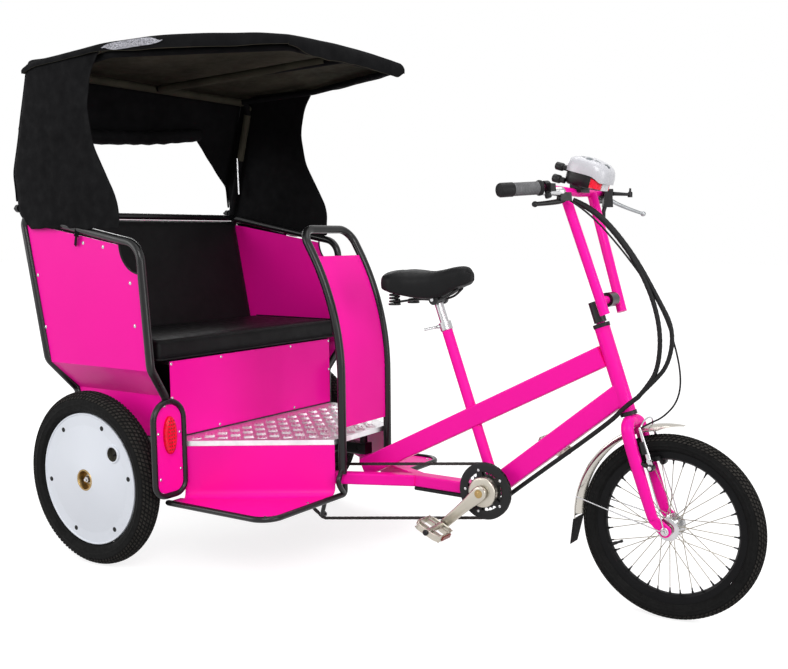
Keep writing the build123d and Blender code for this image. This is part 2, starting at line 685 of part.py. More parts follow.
def chain_loop(circles, y):
    """A chain round its sprockets: a core of inner links, with a wider outer link at every second pitch."""
    core = tangent_loop(circles, CHAIN_CORE_H / 2) - tangent_loop(circles, -CHAIN_CORE_H / 2)
    chain = extrude(upright(y + CHAIN_CORE_W / 2) * core, CHAIN_CORE_W)
    line = tangent_loop(circles, 0).face().outer_wire()
    count = round(line.length / CHAIN_PITCH / 2)
    half, high = CHAIN_PITCH / 2, CHAIN_H / 2
    tip = half + high
    plate = make_face(Polyline((-tip, 0), (-half, -high), (half, -high), (tip, 0), (half, high), (-half, high),
                               close=True))
    links = []
    for k in range(count):
        spot, way = line.position_at(k / count), line.tangent_at(k / count)
        placed = Pos(spot.X, spot.Y) * Rot(0, 0, degrees(atan2(way.Y, way.X))) * plate
        links.append(extrude(upright(y + CHAIN_W / 2) * placed, CHAIN_W))
    return chain + links


def chains():
    crank_loop = ((BB[0], BB[1], CHAINRING_PITCH_R), (*JACKSHAFT, JACK_PITCH_R), (*IDLER, IDLER_PITCH_R))
    axle_loop = ((*JACKSHAFT, JACK_PITCH_R), (0, REAR_TYRE_R, AXLE_PITCH_R))
    return chain_loop(crank_loop, -CHAIN_Y) + chain_loop(axle_loop, AXLE_CHAIN_Y)


# One tooth: share of the pitch, and whether the point lies at the tip.
TOOTH = ((0.14, 0), (0.38, 1), (0.62, 1), (0.86, 0))


def sprocket(x, z, pitch_r, y):
    """A toothed disc just inside its chain."""
    count = round(2 * pi * pitch_r / CHAIN_PITCH)
    root = pitch_r - CHAIN_H / 2 - TOOTH_GAP - TOOTH_DEPTH
    spots = []
    for k in range(count):
        for share, out in TOOTH:
            angle = 2 * pi * (k + share) / count
            r = root + out * TOOTH_DEPTH
            spots.append((x + r * cos(angle), z + r * sin(angle)))
    return xz_plate(spots, y - SPROCKET_T / 2, y + SPROCKET_T / 2)


def jackshaft():
    """The shaft that passes the drive to the axle, with its sprockets and the two hangers that carry it."""
    x, z = JACKSHAFT
    shaft = across(x, z, JACKSHAFT_R, -CHAIN_Y - JACKSHAFT_END, AXLE_CHAIN_Y + JACKSHAFT_END)
    shaft += sprocket(x, z, JACK_PITCH_R, -CHAIN_Y)
    shaft += sprocket(x, z, JACK_PITCH_R, AXLE_CHAIN_Y)
    top = FLOOR_Z - FLOOR_T - 2 * CABIN_TUBE_R - SEAT_GAP
    low = z - HANGER_LOW_HALF_W
    outline = [(x - HANGER_TOP_HALF_W, top), (x + HANGER_TOP_HALF_W, top), (x + HANGER_LOW_HALF_W, low),
               (x - HANGER_LOW_HALF_W, low)]
    for y in (-CHAIN_Y + HANGER_IN, AXLE_CHAIN_Y - HANGER_IN):
        shaft += xz_plate(outline, y - HANGER_T / 2, y + HANGER_T / 2)
    return shaft


def tensioner():
    """The chain's idler on its arm below the right lower tube."""
    x, z = IDLER
    r = IDLER_ARM_R
    top = (IDLER_ARM_TOP[0], -IDLER_ARM_TOP[1], LOWER_TUBE_Z - LOWER_TUBE_W / 2 - r / 2)
    knee = (IDLER_ARM_KNEE[0], -IDLER_ARM_KNEE[1], RAIL_Z - IDLER_ARM_KNEE[2])
    arm = bent_rod([top, knee, (x, -CHAIN_Y - 2 * r, z)], r, 3 * r)
    arm += across(x, z, IDLER_AXLE_R, -CHAIN_Y - 3 * r, -CHAIN_Y + r)
    return arm + sprocket(x, z, IDLER_PITCH_R, -CHAIN_Y)


def crank_end(sign):
    """The X, Z place of a pedal's axle: sign 1 is the left crank."""
    angle = radians(CRANK_DEG + (180 if sign > 0 else 0))
    return BB[0] + CRANK_LENGTH * cos(angle), BB[1] + CRANK_LENGTH * sin(angle)


def crankset():
    """The axle, both arms, the pedal axles and the round cover outside the chainring."""
    crank = across(*BB, CRANK_AXLE_R, -CRANK_Y, CRANK_Y)
    for _, sign in SIDES:
        x, z = crank_end(sign)
        arm = tangent_loop(((BB[0], BB[1], CRANK_ROOT_R), (x, z, CRANK_TIP_R)), 0)
        crank += extrude(upright(sign * CRANK_Y + CRANK_T / 2) * arm, CRANK_T)
        axle_end = CRANK_Y + CRANK_T / 2 + PEDAL_W - PEDAL_RIB / 3
        crank += across(x, z, PEDAL_AXLE_R, sign * CRANK_Y, sign * axle_end)
    cover_in = -CHAIN_Y - SPROCKET_T / 2 - SEAT_GAP
    cover_out = -CRANK_Y + CRANK_T * 3 / 8
    return crank + across(*BB, CRANK_COVER_R, cover_out, cover_in)


def chainring():
    """The toothed ring with groups of round slots, seated inside its chain."""
    plate = sprocket(*BB, CHAINRING_PITCH_R, -CHAIN_Y)
    low, high = -CHAIN_Y - SPROCKET_T, -CHAIN_Y + SPROCKET_T
    plate -= across(*BB, CRANK_AXLE_R + SEAT_GAP, low, high)
    for k in range(CHAINRING_ARMS):
        for step in (-1, 0, 1):
            angle = radians(360 * k / CHAINRING_ARMS + step * CHAINRING_SLOT_STEP_DEG)
            x, z = CHAINRING_SLOT_AT_R * cos(angle), CHAINRING_SLOT_AT_R * sin(angle)
            plate -= across(BB[0] + x, BB[1] + z, CHAINRING_SLOT_R, low, high)
    return plate


def pedal(sign):
    """A cage pedal with its barrel, level, on one crank's axle."""
    x, z = crank_end(sign)
    inner = CRANK_Y + CRANK_T / 2 + PEDAL_GAP
    middle = sign * (inner + PEDAL_W / 2)
    cage = Pos(x, middle, z) * Box(PEDAL_L, PEDAL_W, PEDAL_T)
    cage = fillet(cage.edges().filter_by(Axis.Z), PEDAL_EDGE_R)
    for way in (1, -1):
        opening = Box(PEDAL_OPENING_L, PEDAL_W - 2 * PEDAL_RIB, 2 * PEDAL_T)
        cage -= Pos(x + way * PEDAL_OPENING_X, middle, z) * opening
    bore_end = middle + sign * (PEDAL_W / 2 - PEDAL_RIB / 2)
    return cage - across(x, z, PEDAL_AXLE_R + RUNNING_GAP, sign * CRANK_Y, bore_end)


# Steered pieces
def fork():
    """The steerer, its curved shoulders and blades, and the front axle."""
    crown = Vector(*steer_axis(HEAD_BOTTOM[1] - CUP_H - CROWN_DROP))
    steered = rod(crown, steer_axis(HEAD_BOTTOM[1] - CUP_H - CROWN_GAP), CROWN_R)
    steered += rod(crown, steer_axis(HEAD_TOP[1] - CUP_H), STEERER_R)
    steered += rod(crown, steer_axis(STEM_TOP_Z), STEERER_TOP_R)
    tip = Vector(FRONT_AXLE[0], 0, FRONT_AXLE[1])
    low = crown + (tip - crown) * FORK_TAPER_FROM
    side = Vector(0, FORK_HALF_W, 0)
    steered += bent_rod([low - side, crown - side, crown + side, low + side], FORK_LEG_R, FORK_BEND_R)
    half_t = DROPOUT_T / 2
    for _, sign in SIDES:
        y = sign * FORK_HALF_W
        steered += taper(low + side * sign, tip + side * sign, FORK_LEG_R, FORK_TIP_R)
        steered += across(*FRONT_AXLE, DROPOUT_R, y - half_t, y + half_t)
        nut_from = FORK_HALF_W + half_t
        steered += across(*FRONT_AXLE, AXLE_NUT_R, sign * nut_from, sign * (nut_from + AXLE_NUT_L))
        cone_end = FORK_HALF_W - CROWN_GAP
        steered += across(*FRONT_AXLE, AXLE_NUT_R, sign * (cone_end - AXLE_CONE_L), sign * cone_end)
    return steered + across(*FRONT_AXLE, FRONT_AXLE_R, -FORK_HALF_W, FORK_HALF_W)


def headset():
    """The two bearing cups at the ends of the head tube."""
    low = STEER_PLANE * Pos(0, 0, -CUP_H) * Cylinder(CUP_R, CUP_H - SEAT_GAP, align=BOTTOM)
    high = STEER_PLANE * Pos(0, 0, HEAD_L + SEAT_GAP) * Cylinder(CUP_R, CUP_H, align=BOTTOM)
    bore = Cylinder(STEERER_R + RUNNING_GAP, HEAD_L + 4 * CUP_H, align=BOTTOM)
    return low + high - STEER_PLANE * Pos(0, 0, -2 * CUP_H) * bore


def stem():
    """The stem's sleeve on the steerer, its arm and the clamp round the bar."""
    low = steer_axis(HEAD_TOP[1] + CUP_H + CROWN_GAP)
    sleeve = rod(low, steer_axis(STEM_TOP_Z), STEM_R + STEM_SLEEVE_WALL)
    sleeve += rod(steer_axis(STEM_TOP_Z - STEM_ARM_DROP), (CLAMP_BAR[0], 0, CLAMP_BAR[1]), STEM_R)
    sleeve += across(*CLAMP_BAR, BAR_R + CLAMP_WALL, -CLAMP_HALF_L, CLAMP_HALF_L)
    sleeve -= rod(steer_axis(HEAD_TOP[1]), steer_axis(STEM_TOP_Z + STEM_R), STEERER_TOP_R)
    return sleeve - across(*CLAMP_BAR, BAR_R, -CLAMP_BAR_HALF_L, CLAMP_BAR_HALF_L)


def handlebar():
    """Two leaning uprights, the cross bars between them and the swept ends under the grips."""
    bar = across(*CLAMP_BAR, BAR_R, -CLAMP_BAR_HALF_L, CLAMP_BAR_HALF_L)
    for _, sign in SIDES:
        low = (UPRIGHT_LOW[0], sign * UPRIGHT_LOW[1], UPRIGHT_LOW[2])
        top = (UPRIGHT_TOP[0], sign * UPRIGHT_TOP[1], UPRIGHT_TOP[2])
        bar += rod(low, top, UPRIGHT_R)
        bar += swept_bar(sign, BAR_R)
    return bar


def swept_bar(sign, r):
    """Half of the upper cross bar out to the end of one grip."""
    end = (GRIP_END[0], sign * GRIP_END[1], GRIP_END[2])
    inner = (GRIP_INNER[0], sign * (GRIP_INNER[1] - BAR_BEND_IN), GRIP_INNER[2])
    return bent_rod([(UPRIGHT_TOP[0], 0, UPRIGHT_TOP[2]), inner, end], r, BAR_BEND_R)


def grip_line(sign):
    """A grip's inner point and its direction outward along the bar, and the grip's length."""
    inner = Vector(GRIP_INNER[0], sign * GRIP_INNER[1], GRIP_INNER[2])
    end = Vector(GRIP_END[0], sign * GRIP_END[1], GRIP_END[2])
    return inner, (end - inner).normalized(), (end - inner).length


def grip(sign):
    inner, along, length = grip_line(sign)
    sleeve = rod(inner, inner + along * (length + GRIP_FLANGE), GRIP_R)
    sleeve += rod(inner - along * GRIP_FLANGE_L, inner, GRIP_R + GRIP_FLANGE)
    return sleeve - swept_bar(sign, BAR_R + SEAT_GAP)


def brake_lever(sign):
    """The lever's clamp and body inboard of a grip, and the blade in front of it."""
    inner, along, _ = grip_line(sign)
    out = Vector(0, 0, 1).cross(along).normalized() * (-sign)
    near = inner - along * LEVER_INSET
    middle = near + along * (LEVER_CLAMP_L / 2)
    lever = rod(near, near + along * LEVER_CLAMP_L, BAR_R + LEVER_CLAMP_WALL)
    pivot = middle + out * LEVER_REACH - Vector(0, 0, LEVER_DROP)
    lever += rod(middle, pivot, LEVER_ARM_R)
    knee = pivot + along * LEVER_REACH + out * LEVER_KNEE
    tip = knee + along * LEVER_BLADE_L - out * (LEVER_KNEE / 5)
    lever += bent_rod([pivot - along * LEVER_ARM_R, knee, tip], LEVER_R, 3 * LEVER_R)
    lever += Pos(*tip) * Sphere(LEVER_KNOB_R)
    return lever - swept_bar(sign, BAR_R + SEAT_GAP)


def lamp_pod():
    """The lamp and display housing on the upper cross bar: a domed shell over a body with lens and knobs."""
    x = UPRIGHT_TOP[0] + POD_AHEAD
    shell_h = POD_TOP_Z - POD_LOW_Z
    shell = Pos(x, 0, POD_LOW_Z + shell_h / 2) * Box(POD_W, POD_W, shell_h)
    shell = fillet(shell.edges().filter_by(Axis.Z), POD_EDGE_R)
    shell = fillet(shell.edges().group_by(Axis.Z)[-1], POD_TOP_R)
    middle = POD_LOW_Z - POD_BODY[2] / 2
    body = Pos(x, 0, middle) * Box(*POD_BODY)
    body = fillet(body.edges().filter_by(Axis.Z), POD_TOP_R)
    lens = Pos(x + POD_BODY[0] / 2, 0, middle) * Box(*POD_LENS)
    pod = shell + body + fillet(lens.edges().group_by(Axis.X)[-1], POD_LENS[0] / 3)
    rear = x - POD_W / 2
    for z in (middle, POD_LOW_Z + shell_h / 2):
        pod += rod((x, -POD_KNOB_Y, z), (rear - POD_KNOB_L, -POD_KNOB_Y, z), POD_KNOB_R)
    foot = Pos(UPRIGHT_TOP[0], 0, UPRIGHT_TOP[2] + POD_FOOT[2] / 4) * Box(*POD_FOOT)
    return pod + foot - handlebar()


def front_mudguard():
    """A curved channel round the rear half of the tyre that narrows to a point ahead of the fork."""
    centre_r = FRONT_TYRE_R + MUDGUARD_GAP
    edge_r = centre_r - MUDGUARD_CROWN
    half = MUDGUARD_HALF_W
    grow = MUDGUARD_T
    lip_r, lip = edge_r + grow / 2, half + grow
    section = make_face([
        ThreePointArc((edge_r, -half), (centre_r, 0), (edge_r, half)),
        Line((edge_r, half), (lip_r, lip)),
        ThreePointArc((lip_r, lip), (centre_r + grow, 0), (lip_r, -lip)),
        Line((lip_r, -lip), (edge_r, -half)),
    ])
    start = radians(MUDGUARD_FRONT_DEG)
    x_dir = (cos(start), 0, sin(start))
    axle = (FRONT_AXLE[0], 0, FRONT_AXLE[1])
    plane = Plane(origin=axle, x_dir=x_dir, z_dir=Vector(*x_dir).cross(Vector(0, 1, 0)))
    turn = MUDGUARD_REAR_DEG - MUDGUARD_FRONT_DEG
    guard = revolve(plane * section, axis=Axis(axle, (0, -1, 0)), revolution_arc=turn)
    tip = FRONT_AXLE[0] + (centre_r + grow) * cos(start)
    rear = FRONT_AXLE[0] - 2 * centre_r
    wide = lip + grow
    neck, point = tip - MUDGUARD_POINT_L, MUDGUARD_POINT_HALF_W
    plan = [(tip, -point), (tip, point), (neck, wide), (rear, wide), (rear, -wide), (neck, -wide)]
    return guard & xy_plate(plan, 0, FRONT_AXLE[1] + 2 * centre_r)


def round_axle(radius, angle_deg, y):
    """A point at a radius and angle round the front axle."""
    angle = radians(angle_deg)
    return (FRONT_AXLE[0] + radius * cos(angle), y, FRONT_AXLE[1] + radius * sin(angle))


def mudguard_stays():
    edge_r = FRONT_TYRE_R + MUDGUARD_GAP - MUDGUARD_CROWN
    reach = edge_r + 3 * MUDGUARD_T
    stays = None
    for _, sign in SIDES:
        hub_y = FORK_HALF_W + DROPOUT_T / 2 + 2 * STAY_R
        hub = (FRONT_AXLE[0] - STAY_HUB_BACK, sign * hub_y, FRONT_AXLE[1])
        edge_y = MUDGUARD_HALF_W + MUDGUARD_T + STAY_R + SEAT_GAP
        stay = rod(hub, round_axle(reach, MUDGUARD_REAR_DEG - STAY_BACK_DEG, sign * edge_y), STAY_R)
        stays = stay if stays is None else stays + stay
    return stays


def mudguard_flap():
    """The flexible flap that hangs from the mudguard's rear end and narrows downward."""
    r = FRONT_TYRE_R + MUDGUARD_GAP - MUDGUARD_CROWN + 2 * MUDGUARD_T
    start = MUDGUARD_REAR_DEG + SEAT_GAP
    end = MUDGUARD_REAR_DEG + degrees(FLAP_LENGTH / r)
    outline = []
    kick = r + FLAP_KICK
    for reach, angle in ((r, start), (r + FLAP_T, start), (kick + FLAP_T, end), (kick, end)):
        x, _, z = round_axle(reach, angle, 0)
        outline.append((x, z))
    flap = xz_plate(outline, -MUDGUARD_HALF_W, MUDGUARD_HALF_W)
    top, low = outline[0][1], outline[2][1]
    front = [(-MUDGUARD_HALF_W, top), (MUDGUARD_HALF_W, top), (FLAP_END_HALF_W, low), (-FLAP_END_HALF_W, low)]
    return flap & yz_plate(front, FRONT_AXLE[0] - 2 * r, FRONT_AXLE[0])


def front_brake():
    """Two rim-brake arms on the front of the fork blades."""
    arms = None
    for _, sign in SIDES:
        y = sign * FORK_HALF_W
        x, z = BRAKE_LOW
        ahead = (x + BRAKE_AHEAD, y, z)
        high = (BRAKE_HIGH[0] + BRAKE_AHEAD, y, BRAKE_HIGH[1])
        arm = rod((x - FORK_LEG_R, y, z), ahead, BRAKE_BOSS_R)
        arm += rod(ahead, high, BRAKE_ARM_R)
        arms = arm if arms is None else arms + arm
    return arms - fork()


def below_down_tube(x):
    """The height just under the down tube at X."""
    rise = (DOWN_TUBE_HEAD[1] - BB[1]) / (DOWN_TUBE_HEAD[0] - BB[0])
    return BB[1] + (x - BB[0]) * rise - CABLE_DROP


CABLE_R = 7
CABLE_DROP = 59.5
CABLE_LOW_Z = LOWER_TUBE_Z - 26
# Points of the cable bundle from the bar, forward of the head and back to the down tube: X, Y, height over
# the head's top.
CABLE_STEER = ((1452, -66, 344), (1496, -58, 326), (1560, -52, 268), (1626, -48, 184), (1676, -46, 88),
               (1700, -46, -8), (1694, -46, -98), (1668, -44, -144), (1640, -42.6, -178))
# X, Y, Z points of the bundle's fixed part: past the head tube, under the down tube and under the lower tube.
CABLE_FRAME = ((1634, -42.2, HEAD_LOW_Z + 43.4), (1594, -38, HEAD_LOW_Z + 14), (1556, -19, below_down_tube(1556)),
               (1266, -15, below_down_tube(1266)), (1208, -22, CABLE_LOW_Z), (1120, -12, CABLE_LOW_Z),
               (900, -12, CABLE_LOW_Z))
CABLE_BEND_SHARE = 0.45


def route(points):
    """A smooth bundle: each bend as large as its two runs allow."""
    radii = []
    for k in range(1, len(points) - 1):
        before = Vector(*points[k]) - Vector(*points[k - 1])
        after = Vector(*points[k + 1]) - Vector(*points[k])
        turn = radians(before.get_angle(after))
        radii.append(CABLE_BEND_SHARE * min(before.length, after.length) / tan(turn / 2))
    print("cable bend radii", [round(r) for r in radii])
    return bent_rod(points, CABLE_R, radii)


# Cabin
def side_loop():
    """The left side's tube: foot, flare, front upright, arm rail, rear upright and rear foot."""
    y_foot = WELL_Y
    floor_tube_z = FLOOR_Z - FLOOR_T - CABIN_TUBE_R
    bend_low, bend_high = FLARE_LOW_Z - SIDE_BEND_DROP, FLARE_TOP_Z + SIDE_BEND_RISE
    points = [(SIDE_FRONT_FOOT_X, y_foot, floor_tube_z), (SIDE_FRONT_FOOT_X, y_foot, bend_low),
              (SIDE_FRONT_LOW[0], SIDE_Y, bend_high), (SIDE_FRONT_TOP[0], SIDE_Y, SIDE_FRONT_TOP[1]),
              (SIDE_REAR_TOP[0], SIDE_Y, SIDE_REAR_TOP[1]), (SIDE_REAR_LOW[0], SIDE_Y, bend_high),
              (SIDE_REAR_FOOT_X, y_foot, bend_low), (RAIL_REAR_X + RAIL_W / 2, y_foot, floor_tube_z)]
    foot, flare = SIDE_FOOT_BEND_R, SIDE_FLARE_BEND_R
    return bent_rod(points, CABIN_TUBE_R, [foot, flare, SIDE_BEND_R, foot, flare, foot])


def cabin_tubes():
    left = side_loop()
    tubes = left + mirrored(left)
    return tubes + across(*SIDE_REAR_TOP, CABIN_TUBE_R - PANEL_T / 2, -SIDE_Y, SIDE_Y)


def side_panel():
    """The left side's bent sheet: flat side, inward flare and wheel-well wall, with the corner cut out."""
    half = PANEL_T / 2
    top = SIDE_REAR_TOP[1]
    low = FLOOR_Z + SEAT_GAP
    side, well = SIDE_Y + half, WELL_Y + half
    outer = Polyline((side, top), (side, FLARE_TOP_Z), (well, FLARE_LOW_Z), (well, low))
    side, well = SIDE_Y - half, WELL_Y - half
    inner = Polyline((side, top), (side, FLARE_TOP_Z + half), (well, FLARE_LOW_Z + half), (well, low))
    profile = between(outer, inner)
    start, end = SIDE_REAR_TOP[0] - CABIN_TUBE_R, SIDE_FRONT_LOW[0] + CABIN_TUBE_R
    sheet = extrude(Plane(origin=(start, 0, 0), x_dir=(0, 1, 0), z_dir=(1, 0, 0)) * profile, end - start)
    r = CABIN_TUBE_R + SEAT_GAP
    bend_low, bend_high = FLARE_LOW_Z - SIDE_BEND_DROP, FLARE_TOP_Z + SIDE_BEND_RISE
    front, rear = SIDE_FRONT_FOOT_X - r, RAIL_REAR_X + RAIL_W / 2 + r
    outline = [(SIDE_REAR_TOP[0] + r, top - 2 * r), (SIDE_FRONT_TOP[0] - r, SIDE_FRONT_TOP[1] - r),
               (SIDE_FRONT_LOW[0] - r, bend_high), (front, FLARE_LOW_Z), (front, low), (rear, low),
               (SIDE_REAR_FOOT_X + r, bend_low), (SIDE_REAR_LOW[0] + r, bend_high)]
    sheet &= xz_plate(outline, WELL_Y - r, SIDE_Y + r)
    sheet -= across(*SIDE_FRONT_TOP, CORNER_CUT_R, SIDE_Y - r, SIDE_Y + r)
    return sheet - side_loop()


def seat_box():
    """The deck under the cushion, the bottom plate and the sloping rear wall between the wheel wells."""
    half = WELL_Y - PANEL_T / 2 - SEAT_GAP
    front = SEAT_FRONT_X - SEAT_GAP
    top, low = SEAT_BASE_TOP_Z, FLOOR_Z - SEAT_WALL_T
    t = SEAT_WALL_T
    rear_top, rear_mid, rear_low = SEAT_WALL_TOP_X, SEAT_WALL_MID_X, SEAT_WALL_LOW_X
    under = top - SEAT_DECK_T
    deck = xz_plate([(rear_top + t, under), (front, under), (front, top), (rear_top, top)], -half, half)
    deck += xz_plate([(rear_low, low), (front, low), (front, FLOOR_Z), (rear_low, FLOOR_Z)], -half, half)
    wall = [(rear_top, top), (rear_mid, FLARE_LOW_Z), (rear_low, low), (rear_low + t, low),
            (rear_mid + t, FLARE_LOW_Z), (rear_top + t, top)]
    deck += xz_plate(wall, -half, half)
    return deck - cabin_tubes()


def seat_front_panel():
    height = SEAT_BASE_TOP_Z - FLOOR_Z - 2 * SEAT_GAP
    panel = Box(PANEL_T, 2 * (WELL_Y - SIDE_BEND_DROP), height)
    return Pos(SEAT_FRONT_X + PANEL_T / 2, 0, (FLOOR_Z + SEAT_BASE_TOP_Z) / 2) * panel


def seat_cushion():
    back, front = CUSHION_REAR_X, SEAT_FRONT_X + CUSHION_NOSE
    z = SEAT_BASE_TOP_Z + SEAT_GAP
    pad = Box(front - back, 2 * (SIDE_Y - CUSHION_IN), CUSHION_T)
    pad = Pos((back + front) / 2, 0, z + CUSHION_T / 2) * pad
    return fillet(pad.edges().filter_by(Axis.Y), CUSHION_EDGE_R)


def back_line(z, ahead):
    """X of the seat back's slope at a height, moved ahead by a distance."""
    slope = (SIDE_REAR_TOP[0] - SIDE_REAR_LOW[0]) / (SIDE_REAR_TOP[1] - SIDE_REAR_LOW[1])
    return SIDE_REAR_LOW[0] + (z - SIDE_REAR_LOW[1]) * slope + ahead


def backrest():
    low, high = SEAT_BASE_TOP_Z + BACK_LIFT, SIDE_REAR_TOP[1] - CABIN_TUBE_R - SEAT_GAP
    outline = [(back_line(low, PANEL_T), low), (back_line(low, BACK_T), low), (back_line(high, BACK_T), high),
               (back_line(high, PANEL_T), high)]
    half = SIDE_Y - PANEL_T / 2 - BACK_IN
    return xz_plate(outline, -half, half)


def rear_panel():
    half_t = PANEL_T / 2
    low, high = SEAT_BASE_TOP_Z + BACK_LIFT, SIDE_REAR_TOP[1] - CABIN_TUBE_R - SEAT_GAP
    outline = [(back_line(low, -half_t), low), (back_line(low, half_t), low), (back_line(high, half_t), high),
               (back_line(high, -half_t), high)]
    half = SIDE_Y - CABIN_TUBE_R - SEAT_GAP
    return xz_plate(outline, -half, half)


def floor_outline(inset):
    rear, front = SEAT_FRONT_X + PANEL_T + SEAT_GAP, FLOOR_FRONT_X - inset
    wide, slim = FLOOR_REAR_HALF_W - inset, FLOOR_FRONT_HALF_W - inset
    return [(rear, -wide), (LAMP_PANEL_X - LAMP_RIM_R, -wide), (front, -slim), (front, slim),
            (LAMP_PANEL_X - LAMP_RIM_R, wide), (rear, wide)]


def floor_plate():
    t = FLOOR_SHEET_T
    plate = xy_plate(floor_outline(0), FLOOR_Z - FLOOR_T, FLOOR_Z)
    return plate - xy_plate(floor_outline(t), FLOOR_Z - 2 * FLOOR_T, FLOOR_Z - t)


def lamp_rim():
    """The tube round one wheel-front panel, for the left side."""
    r = LAMP_RIM_R
    low, high = LAMP_PANEL_LOW_Z + r, LAMP_PANEL_TOP_Z - r
    inner, outer = LAMP_PANEL_IN_Y + r, LAMP_PANEL_OUT_Y - r
    x = LAMP_PANEL_X
    bends = [LAMP_LOW_BEND_R, LAMP_TOP_BEND_R, LAMP_TOP_BEND_R, LAMP_LOW_BEND_R]
    path = FilletPolyline((x, inner, low), (x, inner, high), (x, outer, high), (x, outer, low), radius=bends,
                          close=True)
    start = path.edges()[0]
    return sweep(Plane(origin=start @ 0, z_dir=start % 0) * Circle(r), path=path)


def lamp_panel():
    inset = 2 * LAMP_RIM_R + SEAT_GAP
    low, high = LAMP_PANEL_LOW_Z + inset, LAMP_PANEL_TOP_Z - inset
    inner, outer = LAMP_PANEL_IN_Y + inset, LAMP_PANEL_OUT_Y - inset
    plate = Pos(LAMP_PANEL_X, (inner + outer) / 2, (low + high) / 2) * Box(PANEL_T, outer - inner, high - low)
    corner = LAMP_RIM_R + SEAT_GAP
    plate = fillet(plate.edges().filter_by(Axis.X).group_by(Axis.Z)[-1], LAMP_TOP_BEND_R - corner)
    return fillet(plate.edges().filter_by(Axis.X).group_by(Axis.Z)[0], LAMP_LOW_BEND_R - corner)


def tail_lamp():
    """The oval lamp on one wheel-front panel, for the left side."""
    middle = (LAMP_PANEL_IN_Y + LAMP_PANEL_OUT_Y) / 2
    front = LAMP_PANEL_X + PANEL_T / 2 + SEAT_GAP
    face = Plane(origin=(front, middle, LAMP_Z), x_dir=(0, 1, 0), z_dir=(1, 0, 0))
    body = extrude(face * Ellipse(LAMP_HALF_W, LAMP_HALF_H), LAMP_DEPTH)
    return fillet(body.edges().group_by(Axis.X)[-1], LAMP_DEPTH / 2)


RISER_REAR = (LAMP_PANEL_X - LAMP_RIM_R, FLOOR_REAR_HALF_W)
RISER_FRONT = (FLOOR_FRONT_X, FLOOR_FRONT_HALF_W)


def step():
    """The bent sheet below the floor's left edge: a riser that turns out into the lower step."""
    along = Vector(RISER_FRONT[0] - RISER_REAR[0], RISER_FRONT[1] - RISER_REAR[1], 0)
    out = Vector(0, 0, 1).cross(along).normalized()
    top = FLOOR_Z - FLOOR_T - SEAT_GAP
    past = 2 * STEP_OUT_Y
    plane = Plane(origin=Vector(*RISER_REAR, 0) - along, x_dir=out, z_dir=along)
    low = STEP_Z - PANEL_T
    face = -RISER_OUT
    back = face - PANEL_T
    outer = FilletPolyline((back, top), (back, low), (past, low), radius=STEP_BEND_R + PANEL_T)
    inner = FilletPolyline((face, top), (face, STEP_Z), (past, STEP_Z), radius=STEP_BEND_R)
    profile = between(outer, inner)
    sheet = extrude(plane * profile, 3 * along.length)
    r = STEP_RAIL_R + SEAT_GAP
    rear = LAMP_PANEL_X + LAMP_RIM_R + SEAT_GAP
    front = STEP_FRONT_X - r
    end_y = RISER_FRONT[1] - RISER_END_IN
    edge_y = STEP_OUT_Y - r
    outline = [(rear, RISER_REAR[1] - STEP_CORNER_R), (rear, edge_y), (front, edge_y), (front, end_y),
               (front - STEP_CORNER_R, end_y)]
    area = xy_plate(outline, STEP_Z - STEP_CORNER_R, FLOOR_Z)
    corner = area.edges().filter_by(Axis.Z).sort_by(lambda edge: edge.center().X + edge.center().Y)[-1]
    return sheet & fillet(corner, STEP_CORNER_R - r)


def step_rail():
    """The tube round one lower step, for the left side."""
    rear = LAMP_PANEL_X + LAMP_RIM_R + SEAT_GAP
    z = STEP_Z - PANEL_T / 2
    front, y = STEP_FRONT_X, STEP_RAIL_IN_Y
    top = LOWER_TUBE_Z - LOWER_TUBE_W / 2 - SEAT_GAP
    points = [(rear, STEP_OUT_Y, z), (front, STEP_OUT_Y, z), (front, y, z), (front, y, top)]
    return bent_rod(points, STEP_RAIL_R, [STEP_CORNER_R, STEP_RAIL_BEND_R])


SHIELD_X = FLOOR_FRONT_X + SHIELD_TUBE_R + SEAT_GAP


def shield_x(z):
    """X of the shield's curve at a height."""
    rise = max(0, z - SHIELD_STRAIGHT_Z)
    return SHIELD_X - SHIELD_ARC_R + sqrt(SHIELD_ARC_R ** 2 - rise ** 2)


def shield_tubes():
    """The loop in front of the seats: two posts, curved back, joined over the top."""
    low = LOWER_TUBE_Z + LOWER_TUBE_W / 2 + SEAT_GAP
    bend = SHIELD_ARC_TOP_Z
    lean = atan2(bend - SHIELD_STRAIGHT_Z, shield_x(bend) - SHIELD_X + SHIELD_ARC_R)
    rise = SHIELD_TOP_Z - bend
    top = (shield_x(bend) - rise * tan(lean), SHIELD_TOP_Z)
    half = SHIELD_HALF_W
    middle = (SHIELD_STRAIGHT_Z + bend) / 2
    post = Line((SHIELD_X, half, low), (SHIELD_X, half, SHIELD_STRAIGHT_Z))
    curve = ThreePointArc(post @ 1, (shield_x(middle), half, middle), (shield_x(bend), half, bend))
    over = FilletPolyline(curve @ 1, (top[0], half, top[1]), (top[0], 0, top[1]), radius=SHIELD_CORNER_R)
    path = Wire([*post.edges(), *curve.edges(), *over.edges()])
    side = sweep(Plane(origin=path @ 0, z_dir=path % 0) * Circle(SHIELD_TUBE_R), path=path)
    return side + mirrored(side)


